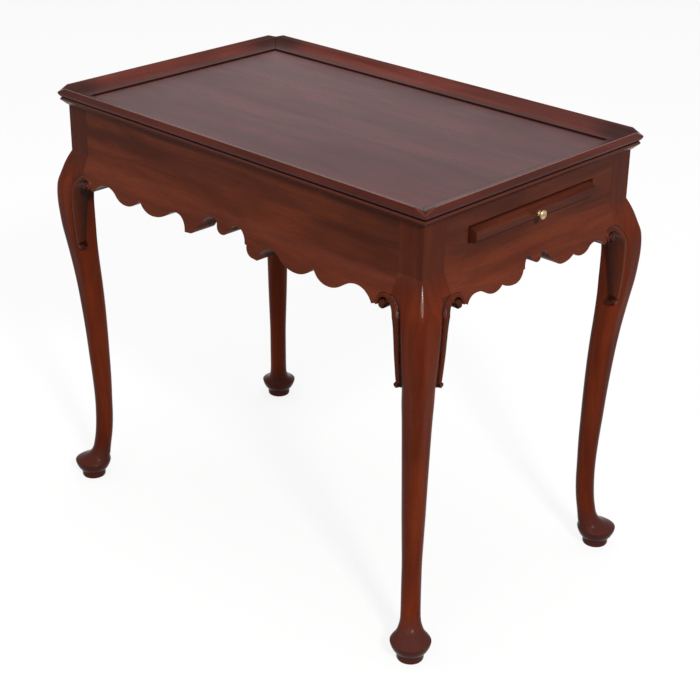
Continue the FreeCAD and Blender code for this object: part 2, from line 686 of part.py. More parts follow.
def post():
    """The square post, whose two outer faces swell below the crease as the aprons do."""
    wide, bulge = size_of("Sizes.post_size"), size_of("Sizes.knee_bulge")
    top, crease, head = size_of(CASE_TOP), size_of(CREASE), size_of(SCROLL_TOP)
    swell = size_of(bulge_below(f"({CREASE} - {SCROLL_TOP})"))
    middle = size_of(bulge_below(f"(({CREASE} - {SCROLL_TOP}) / 2)"))
    outline = [
        Part.LineSegment(Vector(0, wide, head), Vector(0, wide, top)),
        Part.LineSegment(Vector(0, wide, top), Vector(0, 0, top)),
        Part.LineSegment(Vector(0, 0, top), Vector(0, 0, crease)),
        Part.Arc(Vector(0, 0, crease), Vector(0, -middle, (crease + head) / 2), Vector(0, -swell, head)),
        Part.LineSegment(Vector(0, -swell, head), Vector(0, wide, head)),
    ]
    face = Part.Face(Part.Wire([edge.toShape() for edge in outline]))
    face.translate(Vector(-bulge, 0, 0))
    along_x = face.extrude(Vector(wide + bulge, 0, 0))
    along_y = along_x.mirror(Vector(), Vector(1, -1, 0))
    return along_x.common(along_y)


def mortises():
    """The two mortises that the aprons' tenons fill, and the corner block's pilot hole."""
    wide, long = size_of("Sizes.post_size"), size_of("Sizes.tenon_length")
    near, thick = size_of("Sizes.tenon_setback"), size_of("Sizes.tenon_thickness")
    tall = size_of("Sizes.tenon_height")
    foot = size_of(f"{CASE_TOP} - Sizes.tenon_margin") - tall
    first = Part.makeBox(long, thick, tall, Vector(wide - long, near, foot))
    second = first.mirror(Vector(), Vector(1, -1, 0))
    tools = [first, second]
    for level in corner_screw_levels():
        tools.append(corner_screw_shank(level))
    return tools


def leg_shape():
    """A whole leg for the front left corner, its post's outer corner on the upright axis."""
    whole = post().fuse([cabriole(), pad_foot()])
    return whole.cut(mortises()).removeSplitter()


def leg(corner, shape):
    """One leg, turned to face out of its corner."""
    feature = DOC.addObject("Part::Feature", f"leg_{corner}")
    feature.Shape = shape
    place_on_corner(feature, corner)
    return keep(feature, f"leg_{corner}")


# ---------------------------------------------------------------- knee blocks


def knee_block_body(name, along_x):
    """One scrolled knee block, before it is fitted to the leg's side.

    It is drawn at the front left post: along the front when along_x, else along the left
    side, where the drawing is the same with the two axes exchanged.
    """
    body = new_body(name)
    top = SCROLL_TOP
    foot = f"({CURL_CENTRE} - Sizes.curl_radius)"
    shoulder = f"({CREASE} - Sizes.apron_drop)"
    swell_top = bulge_below(f"({CREASE} - {SCROLL_TOP})")
    swell_low = bulge_below("Sizes.apron_drop")
    section = [
        ("-(Sizes.block_toe - Sizes.block_heel)", foot, 0),
        ("Sizes.block_depth", top, 0),
        (f"-({swell_top} - Sizes.block_scribe)", top, 10),
        (f"-({swell_low} + Sizes.block_swell)", shoulder, 9),
        ("-Sizes.block_toe", foot, 0),
    ]
    reach = "(Sizes.scroll_setback + Sizes.scroll_radius + 1)"
    if along_x:
        profile = sketch_outline(body, "YZ_Plane", f"{name}_section", section)
    else:
        profile = sketch_outline(body, "XZ_Plane", f"{name}_section", section)
    pad(body, profile, reach, reverse=not along_x)
    plane = "XZ_Plane" if along_x else "YZ_Plane"
    pocket_through(body, sketch_outline(body, plane, f"{name}_waste", block_waste(reach)))
    return body


# The eye's centre from the C-scroll's. The saw comes to the eye and to the curl at one point
# of their circles and leaves them at another, in shares of their radius across and up.
EYE_SHIFT = (1, -2)
EYE_START, EYE_END, EYE_TURN = (0.93, -0.37), (-0.955, 0.29), -175
CURL_START, CURL_END, CURL_TURN = (0.45, 0.89), (-0.28, -0.96), -170
# The sawn edge between the eye and the curl: across from the block's edge, up from the
# C-scroll's centre, and how far the line turns on its way to the next point.
NECK_POINTS = [(13, 2, 34), (2.5, -9.5, 12), (0, -20, 6)]


def on_circle(x, y, radius, shares):
    """A point of a circle, from its shares of the radius across and up."""
    across, up = shares
    return f"({x} + {radius} * {across})", f"({y} + {radius} * {up})"


def block_waste(reach):
    """What the saw takes away below and beside the scrolled edge of a knee block."""
    edge = "Sizes.block_edge"
    waist = f"({edge} - Sizes.block_waist)"
    centre = "Sizes.scroll_setback"
    eye = (f"({centre} + {EYE_SHIFT[0]})", f"({SCROLL_CENTRE} + {EYE_SHIFT[1]})", "Sizes.volute_radius")
    curl = (f"({edge} - Sizes.curl_radius / 2)", CURL_CENTRE, "Sizes.curl_radius")
    far = f"({reach} + {WASTE_SIDE})"
    high = f"({SCROLL_TOP} + {WASTE_SIDE})"
    low = f"({CURL_CENTRE} - Sizes.curl_radius - {WASTE_SIDE})"
    neck = []
    for across, up, bend in NECK_POINTS:
        neck.append((f"({edge} + {across})", f"({SCROLL_CENTRE} + {up})", bend))
    return [
        ("-1", low, 0),
        (far, low, 0),
        (far, high, 0),
        (centre, high, 0),
        (centre, SCROLL_TOP, SCROLL_TURN),
        (f"({centre} + {SCROLL_OUT})", f"({SCROLL_CENTRE} - {SCROLL_DOWN})", 0),
        (*on_circle(*eye, EYE_START), EYE_TURN),
        (*on_circle(*eye, EYE_END), 0),
        *neck,
        (waist, f"({CURL_CENTRE} + Sizes.curl_radius * 1.8)", 0),
        (*on_circle(*curl, CURL_START), CURL_TURN),
        (*on_circle(*curl, CURL_END), 0),
        ("Sizes.block_root", f"({CURL_CENTRE} + Sizes.curl_rise)", 0),
        ("Sizes.block_root", high, 0),
        ("-1", high, 0),
    ]


def knee_block(corner, side, leg_piece):
    """One knee block, sawn to its outline and scribed to the leg that it is glued to."""
    turns = CORNERS[corner]
    along_x = (SIDES[side] - turns) % 4 == 0
    name = f"knee_block_{corner}_{side}"
    body = knee_block_body(f"{name}_blank", along_x)
    place_on_corner(body, corner)
    fitted = DOC.addObject("Part::Cut", name)
    fitted.Base = body
    fitted.Tool = leg_piece
    return keep(fitted, name)


# ---------------------------------------------------------------- candle slides


def slide(end):
    """One candle slide for the right or left end: board, front bar, stop pin, rose and knob."""
    turns = 0 if end == "right" else 2
    middle = SLIDE_MIDDLE
    half_board = "(Sizes.slide_width / 2)"
    inner = "(Sizes.rail_thickness / 2 + Sizes.slide_stop_gap)"
    bar_back = f"({HALF_X} - Sizes.bar_inset)"
    board_end = f"({bar_back} + Sizes.slide_tongue)"
    board = new_body(f"slide_board_{end}")
    outline = sketch_outline(
        board, "XY_Plane", f"slide_{end}_outline", rectangle(inner, f"-{half_board}", board_end, half_board)
    )
    pad(board, outline, "Sizes.slide_thickness")
    pin_hole = sketch_circle(board, f"slide_{end}_pin_hole", pin_place(), "0", "Sizes.pin_radius")
    pocket_through(board, pin_hole)
    shank_hole(board, f"slide_{end}_shank_hole", f"({HALF_X} + Sizes.bar_proud)", "Sizes.slide_thickness / 2")
    place(board, z=f"({middle} - Sizes.slide_thickness / 2)", quarter_turns=turns)
    keep(board, f"slide_board_{end}")

    bar = new_body(f"slide_front_{end}")
    tall, face = "(Sizes.bar_height / 2)", "(Sizes.bar_face / 2)"
    front = f"({HALF_X} + Sizes.bar_proud)"
    section = [
        (bar_back, f"-{tall}", 0),
        (HALF_X, f"-{tall}", 0),
        (front, f"-{face}", 0),
        (front, face, 0),
        (HALF_X, tall, 0),
        (bar_back, tall, 0),
    ]
    pad(bar, sketch_outline(bar, "XZ_Plane", f"bar_{end}_section", section), "Sizes.bar_length", True)
    groove = rectangle(
        f"({bar_back} - 1)", f"-{half_board}", board_end, half_board
    )
    groove_sketch = sketch_outline(bar, "XY_Plane", f"bar_{end}_groove", groove)
    cut = bar.newObject("PartDesign::Pocket", f"bar_{end}_groove_cut")
    cut.Profile = groove_sketch
    cut.SideType = "Symmetric"
    cut.setExpression("Length", "Sizes.slide_thickness")
    shank_hole(bar, f"bar_{end}_shank_hole", f"({HALF_X} + Sizes.bar_proud)", "0")
    place(bar, z=middle, quarter_turns=turns)
    keep(bar, f"slide_front_{end}")

    pin = new_body(f"slide_stop_pin_{end}")
    pin_sketch = sketch_circle(pin, f"pin_{end}_circle", pin_place(), "0", "Sizes.pin_radius")
    pad(pin, pin_sketch, "Sizes.pin_length")
    pin_foot = f"({middle} + Sizes.slide_thickness / 2 - Sizes.pin_length)"
    place(pin, z=pin_foot, quarter_turns=turns)
    keep(pin, f"slide_stop_pin_{end}")

    rose = new_body(f"slide_rose_{end}")
    ring = rectangle(front, "Sizes.knob_shank", f"({front} + Sizes.rose_thickness)", "Sizes.rose_radius")
    revolve(rose, sketch_outline(rose, "XZ_Plane", f"rose_{end}_section", ring), "H_Axis")
    place(rose, z=middle, quarter_turns=turns)
    keep(rose, f"slide_rose_{end}")

    knob = new_body(f"slide_knob_{end}")
    seat = f"({front} + Sizes.rose_thickness)"
    nose = f"({front} + Sizes.knob_reach)"
    shoulder = f"({nose} - Sizes.knob_rim)"
    half_section = [
        (f"({front} - Sizes.knob_shank_length)", "0", 0),
        (nose, "0", 6),
        (f"({nose} - Sizes.knob_crown)", "(Sizes.knob_radius * Sizes.knob_flat)", 50),
        (f"({shoulder} + Sizes.knob_edge)", "Sizes.knob_radius", 0),
        (shoulder, "(Sizes.knob_radius * Sizes.knob_shoulder)", -40),
        (f"({seat} + Sizes.knob_foot)", "Sizes.knob_neck", 0),
        (seat, "(Sizes.knob_neck + Sizes.knob_flare)", 0),
        (seat, "Sizes.knob_shank", 0),
        (f"({front} - Sizes.knob_shank_length)", "Sizes.knob_shank", 0),
    ]
    revolve(knob, sketch_outline(knob, "XZ_Plane", f"knob_{end}_section", half_section), "H_Axis")
    place(knob, z=middle, quarter_turns=turns)
    keep(knob, f"slide_knob_{end}")


def pin_place():
    """Where a stop pin stands in its slide, so that it meets the end apron at full travel."""
    return f"({HALF_X} - Sizes.apron_thickness - Sizes.slide_travel - Sizes.pin_radius - 0.2)"


def sketch_circle(body, name, x, y, radius):
    """Draw one circle on the body's level base plane."""
    sketch = new_sketch(body, "XY_Plane", name)
    add_circle(sketch, x, y, radius)
    return sketch


def shank_hole(body, name, front, level):
    """Bore the hole of a knob's shank back from the bar's face, by a turned groove."""
    sketch = sketch_outline(
        body,
        "XZ_Plane",
        name,
        rectangle(
            f"({front} - Sizes.knob_shank_length)", level, f"({front} + 1)", f"({level} + Sizes.knob_shank)"
        ),
    )
    bore = body.newObject("PartDesign::Groove", name + "_bore")
    bore.Profile = sketch
    bore.ReferenceAxis = (sketch, ["Edge1"])
    bore.Angle = 360
    return bore


def runner(side):
    """A grooved runner along the front or back, from one end apron to the other."""
    body = new_body(f"slide_runner_{side}")
    tall = "(Sizes.runner_height / 2)"
    groove = "(Sizes.slide_thickness / 2 + Sizes.slide_play)"
    back = f"({RUNNER_FACE} + Sizes.runner_thickness)"
    floor = f"({RUNNER_FACE} + Sizes.runner_groove)"
    section = [
        (RUNNER_FACE, f"-{tall}", 0),
        (back, f"-{tall}", 0),
        (back, tall, 0),
        (RUNNER_FACE, tall, 0),
        (RUNNER_FACE, groove, 0),
        (floor, groove, 0),
        (floor, f"-{groove}", 0),
        (RUNNER_FACE, f"-{groove}", 0),
    ]
    span = f"2 * ({HALF_X} - Sizes.apron_thickness)"
    pad(body, sketch_outline(body, "YZ_Plane", f"runner_{side}_section", section), span, True)
    place(body, z=SLIDE_MIDDLE, quarter_turns=2 if side == "front" else 0)
    return keep(body, f"slide_runner_{side}")


def middle_rail():
    """The rail between the runners that both slides close against."""
    body = new_body("slide_middle_rail")
    half = "(Sizes.rail_thickness / 2)"
    outline = rectangle(f"-{half}", f"-{RUNNER_FACE}", half, RUNNER_FACE)
    pad(body, sketch_outline(body, "XY_Plane", "rail_outline", outline), "Sizes.rail_height", True)
    place(body, z=SLIDE_MIDDLE)
    return keep(body, "slide_middle_rail")


# ---------------------------------------------------------------- blocks, cleats and screws


def corner_block(corner):
    """A corner block glued and screwed round the inner corner of a post."""
    body = new_body(f"corner_block_{corner}_blank")
    near, wide, far = "Sizes.apron_thickness", "Sizes.post_size", "Sizes.corner_reach"
    outline = [
        (near, wide, 0),
        (wide, wide, 0),
        (wide, near, 0),
        (far, near, 0),
        (near, far, 0),
    ]
    pad(body, sketch_outline(body, "XY_Plane", f"{corner}_block_outline", outline), "Sizes.corner_height")
    place_on_corner(body, corner)
    body.setExpression(".Placement.Base.z", f"({CASE_TOP} - Sizes.corner_height)")
    drilled = DOC.addObject("Part::Cut", f"corner_block_{corner}")
    drilled.Base = body
    drilled.Tool = CORNER_SCREWS
    return keep(drilled, f"corner_block_{corner}")


def corner_screw_levels():
    """The heights of the two screws in a corner block."""
    top, tall = size_of(CASE_TOP), size_of("Sizes.corner_height")
    return [top - tall * 0.3, top - tall * 0.7]


def corner_screw_seat():
    """Distance of a corner screw's seat from the post's outer corner, along the diagonal."""
    return (size_of("Sizes.apron_thickness") + size_of("Sizes.corner_reach")) / math.sqrt(2)


def corner_screw_tip():
    """Distance of a corner screw's tip from the post's outer corner, along the diagonal."""
    return size_of("Sizes.post_size") * math.sqrt(2) - size_of("Sizes.corner_screw_bite")


def corner_screw_shank(level):
    """The shank of one corner screw, at the front left corner."""
    diagonal = Vector(1, 1, 0).normalize()
    tip, seat = corner_screw_tip(), corner_screw_seat()
    start = diagonal * tip + Vector(0, 0, level)
    return Part.makeCylinder(size_of("Sizes.screw_radius"), seat - tip, start, diagonal)


def corner_screw(level):
    """One countersunk screw through a corner block into its post, at the front left corner."""
    diagonal = Vector(1, 1, 0).normalize()
    thin, wide = size_of("Sizes.screw_radius"), size_of("Sizes.screw_head_radius")
    tall = size_of("Sizes.screw_head_height")
    under_head = diagonal * (corner_screw_seat() - tall) + Vector(0, 0, level)
    head = Part.makeCone(thin, wide, tall, under_head, diagonal)
    return corner_screw_shank(level).fuse(head)


def corner_screws():
    """All the corner screws, two in each block."""
    screws = []
    for corner, turns in CORNERS.items():
        x = size_of(HALF_X) * (-1 if "left" in corner else 1)
        y = size_of(HALF_Y) * (-1 if "front" in corner else 1)
        spot = Placement(Vector(x, y, 0), Rotation(Vector(0, 0, 1), 90 * turns))
        for level in corner_screw_levels():
            screw = corner_screw(level)
            screw.Placement = spot
            screws.append(screw)
    feature = DOC.addObject("Part::Feature", "corner_block_screws")
    feature.Shape = Part.makeCompound(screws)
    return keep(feature, "corner_block_screws")


def cleat_middle():
    """Distance of a long cleat's middle line from the table's middle."""
    return f"({HALF_Y} - Sizes.apron_thickness - Sizes.cleat_size / 2)"


def cleat_half_length():
    """Half the length of a long cleat, between the corner blocks."""
    return f"({HALF_X} - Sizes.corner_reach - Sizes.cleat_gap)"


def cleat_screw_places():
    """Where the cleat screws rise into the tray board."""
    places = []
    for sign in ("-", ""):
        for share in ("-0.9", "-0.3", "0.3", "0.9"):
            places.append((f"({share} * {cleat_half_length()})", f"{sign}{cleat_middle()}"))
    return places


def cleat(side):
    """A cleat glued along a long apron, which the tray board is screwed down to."""
    body = new_body(f"top_cleat_{side}_strip")
    half, thick = cleat_half_length(), "(Sizes.cleat_size / 2)"
    low, high = f"({cleat_middle()} - {thick})", f"({cleat_middle()} + {thick})"
    outline = rectangle(f"-{half}", low, half, high)
    pad(body, sketch_outline(body, "XY_Plane", f"cleat_{side}_outline", outline), "Sizes.cleat_size")
    place(body, z=f"({CASE_TOP} - Sizes.cleat_size)", quarter_turns=2 if side == "front" else 0)
    drilled = DOC.addObject("Part::Cut", f"top_cleat_{side}")
    drilled.Base = body
    drilled.Tool = CLEAT_SCREWS
    return keep(drilled, f"top_cleat_{side}")


def cleat_screws():
    """All the screws that hold the tray board down, up through the cleats."""
    foot = size_of(f"{CASE_TOP} - Sizes.cleat_size")
    thin, wide = size_of("Sizes.screw_radius"), size_of("Sizes.screw_head_radius")
    tall = size_of("Sizes.screw_head_height")
    reach = size_of("Sizes.cleat_size + Sizes.screw_bite")
    screws = []
    for x, y in cleat_screw_places():
        spot = Vector(size_of(x), size_of(y), foot)
        shank = Part.makeCylinder(thin, reach, spot)
        screws.append(shank.fuse(Part.makeCone(wide, thin, tall, spot)))
    feature = DOC.addObject("Part::Feature", "top_cleat_screws")
    feature.Shape = Part.makeCompound(screws)
    return keep(feature, "top_cleat_screws")


# ---------------------------------------------------------------- assembly

tray_panel()
CANTS = corner_cants()
for SIDE in SIDES:
    RUN = "Sizes.length" if SIDE in ("front", "back") else "Sizes.width"
    rim_piece(SIDE, RUN, CANTS)
    apron(SIDE)

LEG_SHAPE = leg_shape()
for CORNER in CORNERS:
    LEG = leg(CORNER, LEG_SHAPE)
    for SIDE in CORNER.split("_"):
        knee_block(CORNER, SIDE, LEG)

for END in ("right", "left"):
    slide(END)
for SIDE in ("front", "back"):
    runner(SIDE)
middle_rail()

CORNER_SCREWS = corner_screws()
CLEAT_SCREWS = cleat_screws()
for CORNER in CORNERS:
    corner_block(CORNER)
for SIDE in ("front", "back"):
    cleat(SIDE)

DOC.recompute()

for item in DOC.Objects:
    if "Invalid" in item.State or "Error" in item.State:
        raise RuntimeError(f"{item.Label} did not build: {item.State}")

os.makedirs("parts", exist_ok=True)
for piece in SUBPARTS:
    if piece.Shape.isNull() or not piece.Shape.isValid():
        raise RuntimeError(f"{piece.Label} has no sound shape")
    piece.Shape.exportStep(f"parts/{piece.Label}.step")
    print(f"{piece.Label}: {len(piece.Shape.Solids)} solid, {piece.Shape.Volume / 1000:.1f} cm3")
print(f"{len(SUBPARTS)} sub-parts")
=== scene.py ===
"""Finishes, carved details and studio of a tray top tea table with candle slides."""

import logging
import math
from dataclasses import dataclass, replace
from enum import Enum

import bmesh
import bpy
import numpy as np
from mathutils import Matrix, Vector, geometry

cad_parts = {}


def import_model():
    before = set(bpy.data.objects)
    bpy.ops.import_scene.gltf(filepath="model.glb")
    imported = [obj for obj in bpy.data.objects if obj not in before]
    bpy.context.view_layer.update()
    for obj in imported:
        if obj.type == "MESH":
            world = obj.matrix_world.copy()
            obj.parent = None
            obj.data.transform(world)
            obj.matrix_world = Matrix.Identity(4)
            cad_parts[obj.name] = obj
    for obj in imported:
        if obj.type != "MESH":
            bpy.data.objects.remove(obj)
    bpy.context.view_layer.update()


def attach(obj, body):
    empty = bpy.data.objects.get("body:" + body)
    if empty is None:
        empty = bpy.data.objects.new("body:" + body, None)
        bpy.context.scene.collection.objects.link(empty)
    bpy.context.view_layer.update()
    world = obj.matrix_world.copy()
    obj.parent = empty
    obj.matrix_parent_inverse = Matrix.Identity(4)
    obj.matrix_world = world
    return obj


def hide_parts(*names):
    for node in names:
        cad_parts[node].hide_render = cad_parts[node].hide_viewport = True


LOG = logging.getLogger("tea_table")
MM = 0.001
Triple = tuple[float, float, float]
Colour = Triple
Spot = tuple[float, float]
Value = bpy.types.NodeSocket | float
Tint = bpy.types.NodeSocket | Colour
Links = dict[str | int, bpy.types.NodeSocket | float | tuple[float, ...] | list[float]]
Holder = bpy.types.Material | bpy.types.World
WHITE = (1.0, 1.0, 1.0, 1.0)

APRON_DEEP: Colour = (0.066, 0.0145, 0.0075)
APRON_WARM: Colour = (0.165, 0.036, 0.014)
# Painted light: the flare below the crease is coloured lighter, as if lit from above.
FLARE_PAINTED_LIGHT: Colour = (0.2, 0.038, 0.018)
SLIDE_DEEP: Colour = (0.06, 0.014, 0.0085)
SLIDE_WARM: Colour = (0.125, 0.03, 0.015)
BOARD_EDGE: Colour = (0.09, 0.018, 0.009)
LEG_DEEP: Colour = (0.1, 0.0148, 0.005)
LEG_WARM: Colour = (0.225, 0.0365, 0.0095)
FOOT_DARK: Colour = (0.06, 0.019, 0.0165)
BLOCK_DEEP: Colour = (0.065, 0.011, 0.004)
BLOCK_WARM: Colour = (0.15, 0.027, 0.007)
# The heights in metres between which the stain turns into the post's, the colour darkens towards
# the foot, and painted light comes in on the upward-facing flare.
POST_LEVELS = (0.545, 0.59)
FOOT_LEVELS = (0.075, 0.035)
FOOT_SHARE = 0.85
FLARE_LIGHT_LEVELS = (0.594, 0.57)
FLARE_LIGHT_SHARE = 0.22
# How much painted shade darkens a colour, and how light its dark is as a share of the deep stain.
PAINTED_SHADE_SHARE = 0.8
PAINTED_SHADE_TONE = 0.18
# Where painted shade starts and is full: up the rim's toe, along the rim from its corners, over
# its crest, in from the board's edge and down its nose. EDGE_FADE is where the nose's colour is.
TOE_FADE = (4.5 * MM, 1.5 * MM)
CORNER_FADE = (-60 * MM, -4 * MM)
CREST_FADE = (35 * MM, 32 * MM, 0.95)
BORDER_FADE = (-5 * MM, -0.5 * MM)
NOSE_FADE = (-1.5 * MM, -0.7 * MM)
EDGE_FADE = (-0.4 * MM, -0.9 * MM)
# Which way each corner of the table lies from its middle.
CORNERS = {"front_left": (-1, -1), "front_right": (1, -1), "back_right": (1, 1), "back_left": (-1, 1)}


class Grain(Enum):
    """The axis of the table that a piece's grain runs along."""

    LENGTHWISE = 0
    CROSSWISE = 1
    UPRIGHT = 2


SIDES = {
    "front": Grain.LENGTHWISE, "back": Grain.LENGTHWISE, "left": Grain.CROSSWISE, "right": Grain.CROSSWISE,
}


class Shade(Enum):
    """Where shade is painted into a piece's colour: recesses, corners and carved hollows."""

    NONE = "none"
    TRAY_BORDER = "tray border"
    RIM_TOE = "rim toe"
    CARVED = "carved"


@dataclass(frozen=True)
class TraySizes:
    """The tray's levels and its sunk field, in metres."""

    board_top: float = 670.5 * MM
    rim_top: float = 686.5 * MM
    field_x: float = 345.0 * MM
    field_y: float = 196.5 * MM

    def above_board(self, fade: Spot) -> Spot:
        """Lift a fade's two heights onto the board's top.

        Args:
            fade: The heights above the board's top.

        Returns:
            The heights above the floor.
        """
        return self.board_top + fade[0], self.board_top + fade[1]


# Finishes.


class NodeBench:
    """Adds and joins the shader nodes of one material, or of the sky."""

    def __init__(self, holder: Holder, output: str = "ShaderNodeOutputMaterial") -> None:
        """Empty the holder's node tree and add its output.

        Args:
            holder: The new material or world.
            output: The type of its output node.
        """
        holder.use_nodes = True
        self.holder = holder
        self.tree = holder.node_tree
        self.tree.nodes.clear()
        self.output = self.add(output)

    def add(self, kind: str, links: Links | None = None, **settings: object) -> bpy.types.Node:
        """Add one node.

        Args:
            kind: The node's type.
            links: For each input, the socket that feeds it or its value.
            settings: The node's own settings.

        Returns:
            The new node.
        """
        node = self.tree.nodes.new(kind)
        for key, value in settings.items():
            setattr(node, key, value)
        for key, value in (links or {}).items():
            if isinstance(value, bpy.types.NodeSocket):
                self.tree.links.new(value, node.inputs[key])
            else:
                node.inputs[key].default_value = value
        return node

    def maths(
        self, operation: str, first: Value, second: Value = 0.0, clamp: bool = False
    ) -> bpy.types.NodeSocket:
        """Add a Math node and return its result.

        Args:
            operation: The sum to do.
            first: The first socket or number.
            second: The second socket or number.
            clamp: Whether the result is held between 0 and 1.

        Returns:
            The result's socket.
        """
        node = self.add("ShaderNodeMath", {0: first, 1: second}, operation=operation, use_clamp=clamp)
        return node.outputs[0]

    def mix(self, share: Value, first: Tint, second: Tint) -> bpy.types.NodeSocket:
        """Mix two colours.

        Args:
            share: How much of the second colour is used.
            first: The first colour or socket.
            second: The second colour or socket.

        Returns:
            The mixed colour's socket.
        """
        first, second = (
            tint if isinstance(tint, bpy.types.NodeSocket) else (*tint, 1.0) for tint in (first, second)
        )
        return self.add("ShaderNodeMix", {0: share, 6: first, 7: second}, data_type="RGBA").outputs[2]

    def ramp(
        self, value: bpy.types.NodeSocket, low: float, high: float, most: float = 1.0
    ) -> bpy.types.NodeSocket:
        """Ease a value from 0 at low to the most at high.

        Args:
            value: The value's socket.
            low: Where the result is 0.
            high: Where the result is the most.
            most: The greatest result.

        Returns:
            The eased value's socket.
        """
        links = {"Value": value, "From Min": low, "From Max": high, "To Max": most}
        node = self.add("ShaderNodeMapRange", links, interpolation_type="SMOOTHSTEP")
        return node.outputs[0]

    def axes(self) -> bpy.types.NodeOutputs:
        """Add nodes for the place of a point on the table.

        Returns:
            The sockets of its x, y and z in metres.
        """
        place = self.add("ShaderNodeTexCoord").outputs["Object"]
        return self.add("ShaderNodeSeparateXYZ", {0: place}).outputs

    def spread(self, value: bpy.types.NodeSocket, low: float, high: float) -> bpy.types.NodeSocket:
        """Map a value from 0 to 1 straight onto another range.

        Args:
            value: The value's socket.
            low: The result at 0.
            high: The result at 1.

        Returns:
            The result's socket.
        """
        return self.add("ShaderNodeMapRange", {"Value": value, "To Min": low, "To Max": high}).outputs[0]

    def surface(self, shader: bpy.types.Node) -> Holder:
        """Join the last shader to the output.

        Args:
            shader: The shader node.

        Returns:
            The finished material or world.
        """
        self.tree.links.new(shader.outputs[0], self.output.inputs["Surface"])
        return self.holder


def scaled(colour: Colour, share: float) -> Colour:
    """A colour with its light scaled.

    Args:
        colour: The colour.
        share: How much of its light is left.

    Returns:
        The scaled colour.
    """
    return tuple(share * part for part in colour)


@dataclass(frozen=True)
class Layer:
    """One layer of noise in a wood's figure.

    It has its cells per metre along and across the grain. Between low and high it shows up to
    most, and where it shows it leaves the share light of the deep stain.
    """

    along: float
    across: float
    detail: float
    warp: float
    low: float
    high: float
    most: float = 1.0
    light: float = 1.0


RIBBONS = Layer(3.2, 34.0, 5.0, 0.7, 0.32, 0.72)
PATCHES = Layer(4.5, 11.0, 3.0, 0.4, 0.4, 0.72, 0.5, 0.62)
FIBRES = Layer(30.0, 900.0, 3.0, 0.0, 0.35, 0.7, 0.22, 0.45)
PORES = Layer(90.0, 2100.0, 1.0, 0.0, 0.6, 0.72, 0.35, 0.3)


